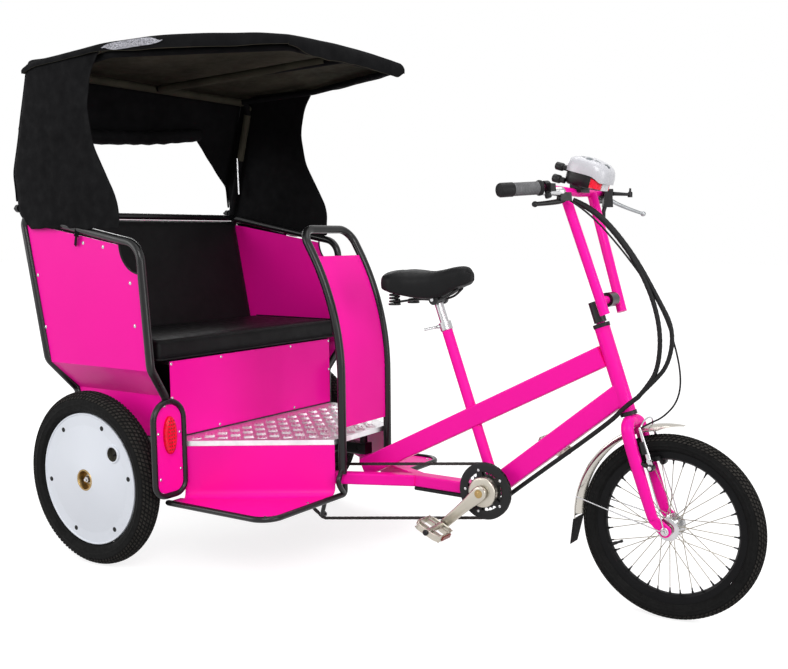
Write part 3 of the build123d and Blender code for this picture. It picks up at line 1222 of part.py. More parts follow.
def shield_panel():
    half = PANEL_T / 2
    centre = (SHIELD_X - SHIELD_ARC_R, SHIELD_STRAIGHT_Z)
    end = atan2(SHIELD_PANEL_TOP_Z - SHIELD_STRAIGHT_Z, shield_x(SHIELD_PANEL_TOP_Z) - centre[0])
    arcs = []
    for r in (SHIELD_ARC_R + half, SHIELD_ARC_R - half):
        arcs.append([(centre[0] + r * cos(a), centre[1] + r * sin(a)) for a in (0, end / 2, end)])
    outer, inner = arcs
    low = SHIELD_PANEL_LOW_Z
    out_low, in_low = (outer[0][0], low), (inner[0][0], low)
    edges = [Line(out_low, outer[0]), ThreePointArc(*outer), Line(outer[2], inner[2]),
             ThreePointArc(*inner[::-1]), Line(inner[0], in_low), Line(in_low, out_low)]
    width = SHIELD_HALF_W - SHIELD_TUBE_R - SEAT_GAP
    return extrude(upright(width) * make_face(edges), 2 * width)


# Hood
# Sections of the roof from rear to front: X, half width, rise of the edge over the rear edge, crown.
ROOF_SECTIONS = (
    (HOOD_REAR_X, HOOD_HALF_W, 0, 10),
    (120, HOOD_HALF_W, 24, 14),
    (300, HOOD_HALF_W - 46, 40, 14),
    (602, HOOD_FRONT_HALF_W + 31, 39, 12),
    (HOOD_FRONT_X, HOOD_FRONT_HALF_W, 26, 8),
)


def hem(a, b, drop_a, drop_b):
    """A strip of fabric hanging from the edge between two points of the roof's left edge."""
    a, b = Vector(a), Vector(b)
    level = Vector(b.X - a.X, b.Y - a.Y, 0)
    inward = Vector(0, 0, 1).cross(level).normalized() * -1
    outline = Polyline(a, b, b - Vector(0, 0, drop_b), a - Vector(0, 0, drop_a), close=True)
    return extrude(make_face(outline), HOOD_FABRIC_T, dir=inward)


def hood_roof():
    """The roof's fabric over the frame, with a valance across the front and hems along the front sides."""
    t = HOOD_FABRIC_T
    faces = []
    for x, half, rise, crown in ROOF_SECTIONS:
        plane = Plane(origin=(x, 0, HOOD_REAR_Z + rise), x_dir=(0, 1, 0), z_dir=(1, 0, 0))
        top = ThreePointArc((-half, 0), (0, crown), (half, 0))
        faces.append(plane * between(top, ThreePointArc((-half, -t), (0, crown - t), (half, -t))))
    roof = loft(faces, ruled=True)
    x, half, rise, crown = ROOF_SECTIONS[-1]
    front = Plane(origin=(x - t, 0, HOOD_REAR_Z + rise), x_dir=(0, 1, 0), z_dir=(1, 0, 0))
    drop = HOOD_VALANCE
    top = ThreePointArc((-half, -t / 2), (0, crown - t / 2), (half, -t / 2))
    low = ThreePointArc((-half, -drop), (0, crown - drop), (half, -drop))
    roof += extrude(front * between(top, low), t)
    for k, drops in ((2, (t, HOOD_HEM)), (3, (HOOD_HEM, HOOD_VALANCE))):
        ends = [(x, half, HOOD_REAR_Z + rise - t / 2) for x, half, rise, _ in ROOF_SECTIONS[k:k + 2]]
        strip = hem(*ends, *drops)
        roof += strip + mirrored(strip)
    return roof


# Side curtain outline from its rear top corner round by the front: X, height over the roof's rear edge.
CURTAIN = ((HOOD_REAR_X, -8), (110, 14), (62, -52), (40, -150), (62, -265), (120, -364), (158, -430),
           (166, -514), (-262, -518), (-318, -480), (-330, -459), (-345, -339))


def hood_side():
    """One side curtain, outside the arm rail, for the left side."""
    outline = [(x, HOOD_REAR_Z + rise) for x, rise in CURTAIN]
    return xz_plate(outline, HOOD_HALF_W - HOOD_FABRIC_T, HOOD_HALF_W)


# Rear curtain from top to bottom: X, height over the roof's rear edge.
REAR_CURTAIN = ((HOOD_REAR_X + 2, -10), (-343, -339), (-333, -428))
# Its opening on one side of the middle from the bottom up: Y, height over the roof's rear edge.
REAR_OPENING = ((HOOD_HALF_W - 82, -480), (HOOD_HALF_W - 82, -332), (HOOD_HALF_W - 278, -160))


def hood_rear():
    """The rear curtain with its wide opening."""
    half = HOOD_HALF_W - HOOD_FABRIC_T - SEAT_GAP
    rear = [(x, HOOD_REAR_Z + rise) for x, rise in REAR_CURTAIN]
    front = [(x + HOOD_FABRIC_T, z) for x, z in rear[::-1]]
    sheet = xz_plate(rear + front, -half, half)
    left = [(y, HOOD_REAR_Z + rise) for y, rise in REAR_OPENING]
    right = [(-y, z) for y, z in left[::-1]]
    return sheet - yz_plate(left + right, 2 * HOOD_REAR_X, 0)


def hood_frame():
    """The hoop over the seat, the side tubes and middle tube out to the front bar."""
    y = SIDE_Y
    z = HOOD_REAR_Z - HOOD_BOW_DROP
    foot = (SIDE_REAR_TOP[0], y, SIDE_REAR_TOP[1] + CABIN_TUBE_R + SEAT_GAP)
    side = bent_rod([foot, (HOOD_BOW_X, y, z), (HOOD_BOW_X, 0, z)], HOOD_TUBE_R, HOOD_BOW_BEND_R)
    frame = side + mirrored(side)
    front = (HOOD_FRONT_X - HOOD_BAR_BACK, HOOD_FRONT_HALF_W - HOOD_BAR_IN, HOOD_REAR_Z + HOOD_BAR_RISE)
    mid = (HOOD_RAIL_MID_X, y - HOOD_FABRIC_T, HOOD_REAR_Z - HOOD_RAIL_MID_DROP)
    start = (HOOD_BOW_X, y - HOOD_RAIL_START_IN, z)
    rail = bent_rod([start, mid, front, (front[0], 0, front[2])], HOOD_RAIL_R, HOOD_RAIL_BENDS)
    frame += rail + mirrored(rail)
    return frame + rod((HOOD_BOW_X, 0, z), (front[0], 0, front[2]), HOOD_MIDDLE_R)


def hood_knobs():
    """The clamping knobs behind the hoop's feet."""
    x, z = SIDE_REAR_TOP[0], SIDE_REAR_TOP[1] + KNOB_RISE
    neck_x, head_x = x - KNOB_R, x - 2 * KNOB_R
    knobs = None
    for _, sign in SIDES:
        y = sign * SIDE_Y
        knob = rod((x, y, z), (neck_x, y, z), KNOB_NECK_R)
        knob += rod((neck_x, y, z), (head_x, y, z), KNOB_R)
        knob += rod((head_x, y, z), (KNOB_TIP_X, y, z), KNOB_END_R)
        knobs = knob if knobs is None else knobs + knob
    return knobs - hood_frame() - cabin_tubes()


def battery_pack():
    length, width, height = BATTERY
    return Pos(BATTERY_X, 0, FLOOR_Z + SEAT_GAP + height / 2) * Box(length, width, height)


os.makedirs("parts", exist_ok=True)
save("front_tyre", front_tyre())
save("front_rim", front_rim())
save("front_hub_spokes", front_hub_spokes())
for name, sign in SIDES:
    save(f"rear_tyre_{name}", on_side(rear_tyre(), sign))
    save(f"rear_wheel_{name}", on_side(rear_wheel(), sign))
    save(f"side_panel_{name}", on_side(side_panel(), sign))
    save(f"step_{name}", on_side(step(), sign))
    save(f"hood_side_{name}", on_side(hood_side(), sign))
    save(f"pedal_{name}", pedal(sign))
PAIRED = (("edge_tubes", (step_rail, lamp_rim)), ("lamp_panels", (lamp_panel,)), ("tail_lamps", (tail_lamp,)))
for name, makers in PAIRED:
    pieces = [maker() for maker in makers]
    save(name, Compound(children=pieces + [mirrored(piece) for piece in pieces]))
for name, maker in (("grips", grip), ("brake_levers", brake_lever)):
    save(name, maker(1) + maker(-1))
MAKERS = (bicycle_frame, rear_subframe, rear_axle, drive_motor, battery_pack, seat_post, saddle, saddle_springs,
          chains, jackshaft, crankset, chainring, fork, headset, stem, handlebar, lamp_pod, front_mudguard,
          mudguard_flap, front_brake, cabin_tubes, seat_box, seat_front_panel, seat_cushion, backrest, rear_panel,
          floor_plate, shield_tubes, shield_panel, hood_roof, hood_rear, hood_frame, tensioner, hood_knobs,
          mudguard_stays)
for maker in MAKERS:
    save(maker.__name__, maker())
save("steering_cables", route([(x, y, HEAD_HIGH_Z + rise) for x, y, rise in CABLE_STEER]))
save("frame_cables", route(CABLE_FRAME))
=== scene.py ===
import json
import math
import bpy
from mathutils import Matrix, Vector, noise


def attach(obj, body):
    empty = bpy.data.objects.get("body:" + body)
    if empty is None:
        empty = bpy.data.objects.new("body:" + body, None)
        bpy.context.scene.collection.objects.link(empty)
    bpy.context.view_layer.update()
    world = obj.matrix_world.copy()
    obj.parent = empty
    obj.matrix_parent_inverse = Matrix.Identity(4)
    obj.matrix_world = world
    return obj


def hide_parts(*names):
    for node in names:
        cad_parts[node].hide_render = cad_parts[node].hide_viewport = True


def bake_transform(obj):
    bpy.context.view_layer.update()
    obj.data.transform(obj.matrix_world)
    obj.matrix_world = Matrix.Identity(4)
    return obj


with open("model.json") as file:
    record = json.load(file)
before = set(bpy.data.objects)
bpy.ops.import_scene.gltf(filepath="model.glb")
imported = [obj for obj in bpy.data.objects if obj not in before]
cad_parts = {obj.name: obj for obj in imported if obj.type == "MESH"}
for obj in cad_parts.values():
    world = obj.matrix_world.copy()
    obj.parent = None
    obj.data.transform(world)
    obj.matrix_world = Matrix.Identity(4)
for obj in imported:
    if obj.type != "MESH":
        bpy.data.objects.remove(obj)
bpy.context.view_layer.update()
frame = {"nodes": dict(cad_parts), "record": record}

# Shared sizes and places in millimetres: X from the rear axle, Y from the middle, Z from the ground
WHEELBASE, FRONT_R, FRONT_TYRE_W = 1727, 257, 54
REAR_R, REAR_Y, REAR_TYRE_W = 279, 500, 76
KNOB_TIP_X = -358
ORIGIN_X = (WHEELBASE + FRONT_R + KNOB_TIP_X) / 2
FRONT_AXLE = Vector((WHEELBASE, 0, FRONT_R))
CRANK_AXIS = Vector((1180, 0, 297))
CRANK_L = 165
CRANK_DEG = {1: 42, -1: 222}
SIDES = ((1, "left"), (-1, "right"))


def metres(point):
    """A point in millimetres as metres in the part's frame, with its origin under the middle."""
    x, y, z = point
    return ((x - ORIGIN_X) / 1000, y / 1000, z / 1000)


# Materials
LOOKS = {}
LOW_STOP, HIGH_STOP = 0.3, 0.7
SMUDGE_SCALE = 4.3
WEAVE_DISTORTION = 1.5


def node(tree, kind, **inputs):
    """A new shader node with some inputs set; an underscore in a name stands for a space."""
    made = tree.nodes.new("ShaderNode" + kind)
    for socket, value in inputs.items():
        made.inputs[socket.replace("_", " ")].default_value = value
    return made


def bump_height(tree, coords, kind, scale):
    """The height that a bump reads: woven threads, the cells of leather or plain grain."""
    if kind != "weave":
        texture = node(tree, "TexVoronoi" if kind == "leather" else "TexNoise", Scale=scale)
        tree.links.new(coords, texture.inputs["Vector"])
        return texture.outputs["Distance" if kind == "leather" else "Fac"]
    threads = node(tree, "Math")
    threads.operation = "MULTIPLY"
    for k, way in enumerate(("X", "DIAGONAL")):
        wave = node(tree, "TexWave", Scale=scale, Distortion=WEAVE_DISTORTION)
        wave.bands_direction = way
        tree.links.new(coords, wave.inputs["Vector"])
        tree.links.new(wave.outputs["Fac"], threads.inputs[k])
    return threads.outputs["Value"]


def material(key, name, color, rough, mottle=(5, 0.05), grain=None, kind="noise", metal=None, specular=None,
             coat=None, coat_rough=None, rough_share=0.15):
    """A principled surface with colour and roughness that vary a little, and a fine bump.
    mottle is scale and share, grain is scale, strength and depth in metres, kind is the bump's texture."""
    LOOKS[key] = bpy.data.materials.new(name)
    LOOKS[key].use_nodes = True
    tree = LOOKS[key].node_tree
    shader = tree.nodes["Principled BSDF"]
    for socket, value in (("Metallic", metal), ("Specular IOR Level", specular), ("Coat Weight", coat),
                          ("Coat Roughness", coat_rough)):
        if value is not None:
            shader.inputs[socket].default_value = value
    coords = node(tree, "TexCoord").outputs["Object"]
    patches = node(tree, "TexNoise", Scale=mottle[0], Detail=5)
    ramp = node(tree, "ValToRGB")
    for stop, share, place in ((0, 1 - mottle[1], LOW_STOP), (1, 1 + mottle[1], HIGH_STOP)):
        ramp.color_ramp.elements[stop].position = place
        ramp.color_ramp.elements[stop].color = (*[min(1, c * share) for c in color], 1)
    smudge = node(tree, "TexNoise", Scale=mottle[0] * SMUDGE_SCALE)
    spread = node(tree, "MapRange", From_Min=LOW_STOP, From_Max=HIGH_STOP, To_Min=rough * (1 - rough_share),
                  To_Max=min(1, rough * (1 + rough_share)))
    tree.links.new(coords, patches.inputs["Vector"])
    tree.links.new(patches.outputs["Fac"], ramp.inputs["Fac"])
    tree.links.new(ramp.outputs["Color"], shader.inputs["Base Color"])
    tree.links.new(coords, smudge.inputs["Vector"])
    tree.links.new(smudge.outputs["Fac"], spread.inputs["Value"])
    tree.links.new(spread.outputs["Result"], shader.inputs["Roughness"])
    if grain:
        bump = node(tree, "Bump", Strength=grain[1], Distance=grain[2])
        tree.links.new(bump_height(tree, coords, kind, grain[0]), bump.inputs["Height"])
        tree.links.new(bump.outputs["Normal"], shader.inputs["Normal"])


material("pink", "pink_powder_coat", (0.93, 0.006, 0.36), 0.36, (3, 0.03), (900, 0.04, 0.0002), specular=0.11,
         coat=0.03, coat_rough=0.15)
material("black", "black_powder_coat", (0.005, 0.005, 0.0055), 0.3, grain=(900, 0.06, 0.0002), specular=0.3,
         coat=0.05)
material("vinyl", "grained_vinyl", (0.0055, 0.0055, 0.006), 0.5, (9, 0.25), (520, 0.35, 0.0006), "leather",
         specular=0.12)
material("saddle", "saddle_vinyl", (0.006, 0.006, 0.0065), 0.5, (14, 0.2), (700, 0.2, 0.0004), "leather",
         specular=0.12)
material("canvas", "coated_canvas", (0.006, 0.006, 0.0065), 0.85, (7, 0.3), (420, 0.2, 0.0004), "weave",
         specular=0.05)
# The roof's underside and the tube sleeves: the cloth's own olive tone, lightened as painted backlight
# through the canvas.
material("lining", "olive_lining_painted_backlight", (0.05, 0.047, 0.034), 0.8, (9, 0.3), (420, 0.3, 0.0005), "weave",
         specular=0.05)
material("loop", "loop_strip", (0.3, 0.3, 0.33), 0.95, (330, 0.95), (600, 0.6, 0.001), specular=0.05)
material("tyre", "tyre_rubber", (0.0065, 0.0065, 0.0065), 0.75, (30, 0.25), (600, 0.2, 0.0003), specular=0.09)
# The tread blocks' outer faces are lighter: a painted highlight.
material("tread", "tread_tops_painted_highlight", (0.027, 0.025, 0.0225), 0.85, (40, 0.4), (500, 0.25, 0.0004), specular=0.1)
material("disc", "white_disc", (0.71, 0.74, 0.8), 0.4, (4, 0.03), (500, 0.05, 0.0003))
material("hollow", "dark_hollow", (0.05, 0.048, 0.035), 0.7, (40, 0.3), (300, 0.2, 0.0004))
material("gold", "brass_hub", (0.34, 0.235, 0.1), 0.34, (60, 0.15), metal=1)
material("steel", "bright_steel", (0.5, 0.5, 0.51), 0.24, (40, 0.08), metal=1)
material("chain", "oiled_chain", (0.022, 0.017, 0.016), 0.42, (90, 0.35), metal=0.5)
material("alloy", "brushed_alloy", (0.47, 0.44, 0.38), 0.34, (18, 0.05), (500, 0.02, 0.0002), metal=1,
         rough_share=0.08)
material("spoke", "spoke_steel", (0.27, 0.245, 0.2), 0.36, (40, 0.1), metal=1)
material("plate", "bright_tread_plate", (0.76, 0.74, 0.76), 0.4, (30, 0.1), (300, 0.1, 0.0004), metal=1)
material("guard", "polished_mudguard", (0.5, 0.475, 0.43), 0.2, (20, 0.06), metal=1)
material("rubber", "black_rubber", (0.007, 0.007, 0.0075), 0.55, (40, 0.2), (800, 0.15, 0.0003),
         specular=0.18)
material("grip", "grip_rubber", (0.12, 0.12, 0.125), 0.55, (50, 0.2), (900, 0.15, 0.0003), specular=0.25)
material("plastic", "black_plastic", (0.006, 0.006, 0.0065), 0.4, (30, 0.15), (900, 0.08, 0.0002),
         specular=0.25)
material("white", "white_plastic", (0.5, 0.5, 0.53), 0.28, (10, 0.03), coat=0.1)
material("red", "red_lens", (0.83, 0.004, 0.03), 0.2, (120, 0.2), specular=0.2, coat=0.15)
material("dark_red", "amber_reflector", (0.2, 0.018, 0.01), 0.25, (200, 0.3), specular=0.3)
material("clear", "clear_lens", (0.6, 0.6, 0.63), 0.1, (80, 0.2), coat=0.5)
material("screen", "display_screen", (0.03, 0.045, 0.06), 0.1, (60, 0.3), coat=0.3)
material("motor", "motor_casting", (0.3, 0.31, 0.32), 0.45, (30, 0.15), (350, 0.25, 0.0005), metal=0.9)
material("rim", "black_rim", (0.004, 0.004, 0.0045), 0.5, (20, 0.15), specular=0.1)
SLOT_LOOKS = {
    "pink_paint": "pink", "black_paint": "black", "motor_metal": "motor", "black_plastic": "plastic",
    "bright_steel": "steel", "saddle_vinyl": "saddle", "seat_vinyl": "vinyl", "chain_steel": "chain",
    "canvas": "canvas", "red_lens": "red", "tread_plate": "plate", "cable_rubber": "rubber",
    "grip_rubber": "grip", "white_plastic": "white", "mudguard_metal": "guard", "tyre": "tyre",
    "black_rim": "rim", "white_disc": "disc", "crank_metal": "alloy", "pedal_metal": "alloy",
}
OWN_LOOKS = {"front_hub_spokes": "spoke", "hood_frame": "canvas", "mudguard_flap": "tyre"}
for row in frame["record"]["subparts"]:
    mesh = frame["nodes"][row["node"]].data
    mesh.materials.clear()
    mesh.materials.append(LOOKS[OWN_LOOKS.get(row["node"], SLOT_LOOKS[row["material_slot"]])])


# Helpers for angles, curves and tables
def turns(count):
    """Angles once round, evenly spaced."""
    return [2 * math.pi * k / count for k in range(count)]


def ray(angle):
    """The unit vector at an angle up from forward, seen from the side."""
    return Vector((math.cos(angle), 0, math.sin(angle)))


def about(axis, degrees):
    return Matrix.Rotation(math.radians(degrees), 3, axis)


def power(value, exponent):
    """A power that keeps the sign, for outlines between a circle and a square."""
    return math.copysign(abs(value) ** exponent, value)


def unit(value):
    """The value, held between 0 and 1."""
    return min(1, max(0, value))


def between(table, at, column=1):
    """The value at a place of a table, by straight lines; tables run up or down in their first column."""
    rows = sorted(table)
    if at <= rows[0][0]:
        return rows[0][column]
    for low, high in zip(rows, rows[1:]):
        if at <= high[0]:
            return low[column] + (high[column] - low[column]) * (at - low[0]) / (high[0] - low[0])
    return rows[-1][column]


def eased(table, at, column, reach):
    """A table's value, averaged over a reach on both sides so that the line has no corners."""
    return sum(between(table, at + reach * k / 4, column) for k in range(-4, 5)) / 9


def ripple(point, scale, seed):
    return noise.noise(Vector(point) * scale + Vector((seed, seed * 1.7, seed * 0.3)))


def smooth_curve(points, steps):
    """A Catmull-Rom curve through points."""
    points = [Vector(p) for p in points]
    longer = [points[0] * 2 - points[1], *points, points[-1] * 2 - points[-2]]
    curve = []
    for a, b, c, d in zip(longer, longer[1:], longer[2:], longer[3:]):
        for t in [s / steps for s in range(steps)]:
            curve.append(0.5 * (2 * b + (c - a) * t + (2 * a - 5 * b + 4 * c - d) * t ** 2
                                + (3 * b - a - 3 * c + d) * t ** 3))
    return [*curve, points[-1]]


def nurbs_points(points, resolution):
    """Points along a smooth NURBS line whose control points are given."""
    curve = bpy.data.curves.new("route", "CURVE")
    curve.dimensions = "3D"
    line = curve.splines.new("NURBS")
    line.points.add(len(points) - 1)
    for spot, point in zip(line.points, points):
        spot.co = (*point, 1)
    line.order_u = 3
    line.use_endpoint_u = True
    line.resolution_u = resolution
    holder = bpy.data.objects.new("route", curve)
    mesh = bpy.data.meshes.new_from_object(holder)
    found = [v.co.copy() for v in mesh.vertices]
    bpy.data.objects.remove(holder)
    return found


# Meshes
class Piece:
    """Vertices and faces of one piece in millimetres, joined from simple forms."""

    def __init__(self):
        self.verts = []
        self.faces = []
        self.slots = []

    def add(self, verts, faces, slot=0):
        base = len(self.verts)
        self.verts.extend(Vector(v) for v in verts)
        self.faces.extend(tuple(base + i for i in face) for face in faces)
        self.slots.extend([slot] * len(faces))

    def grid(self, rows, slot=0, wrap=False, closed=False, caps=False):
        """A sheet through rows of points; wrap closes each row, closed joins the last row to the first."""
        wide, count = len(rows[0]), len(rows)
        faces = []
        for i in range(count if closed else count - 1):
            a, b = i * wide, (i + 1) % count * wide
            for j in range(wide if wrap else wide - 1):
                k = (j + 1) % wide
                faces.append((a + j, a + k, b + k, b + j))
        if caps:
            faces += [tuple(range(wide))[::-1], tuple(range((count - 1) * wide, count * wide))]
        self.add([point for row in rows for point in row], faces, slot)

    def prism(self, low, high, slot=0, bottom=True):
        """A form between two outlines with as many points each."""
        count = len(low)
        ends = [tuple(range(count))[::-1]] if bottom else []
        ends.append(tuple(range(count, 2 * count)))
        walls = [(i, (i + 1) % count, (i + 1) % count + count, i + count) for i in range(count)]
        self.add([*low, *high], ends + walls, slot)

    def tube(self, points, radius, sides=10, slot=0):
        """A round tube along points; radius is a number or one for each point."""
        points = [Vector(p) for p in points]
        radii = radius if isinstance(radius, (list, tuple)) else [radius] * len(points)
        rows = []
        normal = None
        for k, point in enumerate(points):
            along = (points[min(k + 1, len(points) - 1)] - points[max(k - 1, 0)]).normalized()
            if normal is None:
                normal = along.orthogonal().normalized()
            normal = (normal - along * normal.dot(along)).normalized()
            other = along.cross(normal)
            rows.append([point + (normal * math.cos(a) + other * math.sin(a)) * radii[k]
                         for a in turns(sides)])
        self.grid(rows, slot, wrap=True, caps=True)

    def disc(self, centre, along, stations, sides=24, slot=0):
        """A turned form: stations are distance along the axis and radius."""
        centre, along = Vector(centre), Vector(along).normalized()
        self.tube([centre + along * s for s, _ in stations], [max(r, 0.01) for _, r in stations], sides, slot)

    def turned(self, centre, along, profile, sides=32, slot=0):
        """A closed ring round an axis: profile is a loop of distance along the axis and radius."""
        centre, along = Vector(centre), Vector(along).normalized()
        normal = along.orthogonal().normalized()
        other = along.cross(normal)
        rows = [[centre + along * step + (normal * math.cos(a) + other * math.sin(a)) * radius
                 for a in turns(sides)] for step, radius in profile]
        self.grid(rows, slot, wrap=True, closed=True)

    def screw(self, place, out, radius=5.5):
        """A domed screw head."""
        dome = ((-0.5, radius), (1.2, radius), (2.4, radius * 0.72), (2.8, radius * 0.3), (2.2, 0))
        self.disc(place, out, dome, 14)

    def box(self, centre, size, slot=0, turn=Matrix.Identity(3), taper=1.0):
        """A block; taper narrows its top."""
        low, high = ([Vector(centre) + turn @ Vector((x * share * size[0], y * share * size[1], z * size[2]))
                      for x, y in ((-0.5, -0.5), (0.5, -0.5), (0.5, 0.5), (-0.5, 0.5))]
                     for z, share in ((-0.5, 1.0), (0.5, taper)))
        self.prism(low, high, slot)

    def done(self, name, looks, sharp=40):
        """The finished object in metres, not yet riding on a body."""
        mesh = bpy.data.meshes.new(name)
        mesh.from_pydata([metres(v) for v in self.verts], [], self.faces)
        for key in looks:
            mesh.materials.append(LOOKS[key])
        mesh.polygons.foreach_set("material_index", self.slots)
        mesh.update()
        mesh.shade_smooth()
        mesh.set_sharp_from_angle(angle=math.radians(sharp))
        obj = bpy.data.objects.new(name, mesh)
        bpy.context.scene.collection.objects.link(obj)
        return obj

    def settle(self, name, looks, body, slot, *nodes, sharp=40):
        """The finished object on its body, in place of the nodes that it stands for."""
        return settle(self.done(name, looks, sharp), body, slot, *nodes)


def settle(obj, body, slot, *nodes):
    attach(obj, body)
    if nodes:
        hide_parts(*nodes)
    return obj


def applied(obj):
    """The object with its modifiers applied to its mesh."""
    view = bpy.context.evaluated_depsgraph_get()
    mesh = bpy.data.meshes.new_from_object(obj.evaluated_get(view))
    obj.modifiers.clear()
    obj.data = mesh
    return obj


# Tyres with a small-block road tread
TREAD_H, RIB_H, CROWN_H = 3.0, 1.1, 0.8
RIBS_DEG = ((66, 74), (92, 96), (112, 122))
TREAD_COLUMNS_DEG = (-58, -42, -26, -9, 9, 26, 42, 58)
BLOCK_HALF_DEG, BLOCK_SHARE, BLOCK_SLANT, BLOCK_TOP = 6.4, 0.36, 0.16, 0.84
TYRE_STEPS = 144


def tyre(name, body, centre_y, axle_x, outer_r, width, count):
    """A tyre round a Y axis: ribbed side walls and rows of tread blocks, whose outer faces are lighter as a
    painted highlight.
    """
    section_r = width / 2
    carcass = section_r - TREAD_H

    def spot(angle, lean, reach):
        """A point by its angle round the axle, its lean round the section and its reach from there."""
        radius = outer_r - section_r + reach * math.cos(lean)
        return (axle_x + radius * math.cos(angle), centre_y + reach * math.sin(lean),
                outer_r + radius * math.sin(angle))

    def wall(lean):
        """The reach of the side wall and the crown under the blocks."""
        degrees = abs(math.degrees(lean))
        rib = RIB_H if any(low <= degrees <= high for low, high in RIBS_DEG) else 0.0
        return carcass + rib + (CROWN_H if degrees < 62 else 0.0)

    piece = Piece()
    leans = [math.radians(d) for d in range(-142, 143, 4)]
    piece.grid([[spot(2 * math.pi * k / TYRE_STEPS, lean, wall(lean)) for lean in leans]
                for k in range(TYRE_STEPS + 1)])
    step = 2 * math.pi / count
    half_lean = math.radians(BLOCK_HALF_DEG)
    for column, degrees in enumerate(TREAD_COLUMNS_DEG):
        lean = math.radians(degrees)
        for k in range(count):
            angle = step * (k + 0.5 * (column % 2))
            verts = []
            for reach, share in ((carcass - 0.3, 1.0), (section_r, BLOCK_TOP)):
                for da, dl in ((-1, -1), (1, -1), (1, 1), (-1, 1)):
                    slant = BLOCK_SLANT * step * dl * (1 if degrees > 0 else -1)
                    verts.append(spot(angle + da * BLOCK_SHARE * step * share + slant,
                                      lean + dl * half_lean * share, reach))
            piece.add(verts, ((0, 1, 5, 4), (1, 2, 6, 5), (2, 3, 7, 6), (3, 0, 4, 7)))
            # The blocks' outer faces take the lighter tread colour, a painted highlight.
            piece.add(verts[4:], ((0, 1, 2, 3),), 1)
    piece.settle(name + "_tread", ["tyre", "tread"], body, "tyre", name, sharp=35)


tyre("front_tyre", "front_wheel", 0, WHEELBASE, FRONT_R, FRONT_TYRE_W, 120)
for sign, side in SIDES:
    tyre(f"rear_tyre_{side}", f"{side}_wheel", sign * REAR_Y, 0, REAR_R, REAR_TYRE_W, 118)

# Rear wheel trim: the hub's brass cup and bolt, the lip round each disc, the valve's opening and the bolts
DISC_FACE_Y, DISC_CREST_Y, VALVE_FACE_Y = 523, 539, 525.5
VALVE_REACH, VALVE_DEG = 151, 38
DISC_BOLTS, DISC_BOLT_R, DISC_BOLT_DEG = 6, 184, 7
HUB_CUP = ((-21.8, 10.5), (-20.5, 10.5), (-20.5, 27.5), (0.2, 28.4), (1.6, 29.5), (1.6, 33), (-0.2, 34.5),
           (-1, 28.9), (-21.8, 28.8))
HUB_WASHER = ((-20.3, 10.1), (-18.5, 10.1), (-18.5, 17.5), (-20.3, 17.5))
HUB_NUT = ((0, 9.8), (6.5, 9.8), (8.5, 7.5), (8.8, 0))
AXLE_END = ((0, 5.2), (4.5, 5.2), (5.5, 4), (5.5, 0))
DISC_LIP = ((-1.5, 204.5), (1.2, 205.2), (2.2, 207.2), (2.2, 209.2), (1, 210.5), (-1.5, 210.5))
VALVE_LIP = ((-16, 22.4), (1.6, 22.4), (3, 24), (3, 26.8), (0.5, 29.5), (-3, 29.5), (-3, 22.9), (-16, 22.9))
VALVE_FLOOR = ((-16.5, 0.5), (-15.5, 0.5), (-15.5, 22.4), (-16.5, 22.4))
VALVE_WALL = ((-15.6, 22.1), (0.8, 22.1), (0.8, 22.45), (-15.6, 22.45))
DISC_BOLT = ((-2.2, 0.3), (0.4, 0.3), (0.4, 7.8), (-2.2, 6.4))
for sign, side in SIDES:
    trim = Piece()
    out = Vector((0, sign, 0))
    crest, face = (Vector((0, sign * y, REAR_R)) for y in (DISC_CREST_Y, DISC_FACE_Y))
    spoke = ray(math.radians(VALVE_DEG))
    valve = Vector((0, sign * VALVE_FACE_Y, REAR_R)) + spoke * VALVE_REACH
    trim.turned(crest, out, HUB_CUP, 48, 0)
    trim.turned(crest, out, HUB_WASHER, 32, 1)
    trim.disc(crest - out * 13.2, out, HUB_NUT, 6, 1)
    trim.disc(crest - out * 6, out, AXLE_END, 20, 1)
    trim.turned(face, out, DISC_LIP, 120, 2)
    for profile, slot in ((VALVE_LIP, 2), (VALVE_FLOOR, 4), (VALVE_WALL, 4)):
        trim.turned(valve, out, profile, 40, slot)
    stem = valve - out * 12.5
    trim.tube([stem + spoke * 21, stem + spoke * 2, valve - out * 11.5 - spoke * 11], [4.2, 4.2, 3], 12, 3)
    for k in range(DISC_BOLTS):
        bolt = face + ray(math.radians(DISC_BOLT_DEG + 360 / DISC_BOLTS * k)) * DISC_BOLT_R
        trim.turned(bolt, out, DISC_BOLT, 18, 3)
    trim.settle(f"{side}_wheel_trim", ["gold", "steel", "disc", "rubber", "hollow"], f"{side}_wheel",
                "white_disc")

# Front wheel trim: spoke nipples, the tyre's valve, the hub's shell and its flanges
SPOKES, SPOKE_LEAN_DEG, RIM_VALVE_DEG = 36, 48, 204
NIPPLE_R, FLANGE_HOLE_R = 187.2, 19
HUB_FLANGE = ((26.8, 14), (26.8, 30.5), (27.6, 31.5), (30.6, 31.5), (31.4, 30.5), (31.4, 14))
nipples = Piece()
for k, angle in enumerate(turns(SPOKES)):
    sign = 1 if k % 2 else -1
    lean = math.radians(SPOKE_LEAN_DEG) * (1 if k % 4 < 2 else -1)
    high = FRONT_AXLE + ray(angle) * NIPPLE_R + Vector((0, sign * 4, 0))
    low = FRONT_AXLE + ray(angle + lean) * FLANGE_HOLE_R + Vector((0, sign * 29, 0))
    way = (low - high).normalized()
    nipples.tube([high + way * s for s in (0, 4, 4.5, 14)], [3.4, 3.4, 2.4, 2], 8)
valve = ray(math.radians(RIM_VALVE_DEG))
nipples.tube([FRONT_AXLE + valve * r for r in (188, 172, 171.5, 160, 159.5, 153)],
             [4.8, 4.8, 3.6, 3.6, 4.3, 4.3], 12)
nipples.disc(FRONT_AXLE - Vector((0, 27.5, 0)), (0, 1, 0), ((0, 15.8), (55, 15.8)), 32, 1)
for sign, _ in SIDES:
    nipples.turned(FRONT_AXLE, (0, sign, 0), HUB_FLANGE, 48, 1)
nipples.settle("front_spoke_nipples", ["plastic", "steel"], "front_wheel", "black_rim")

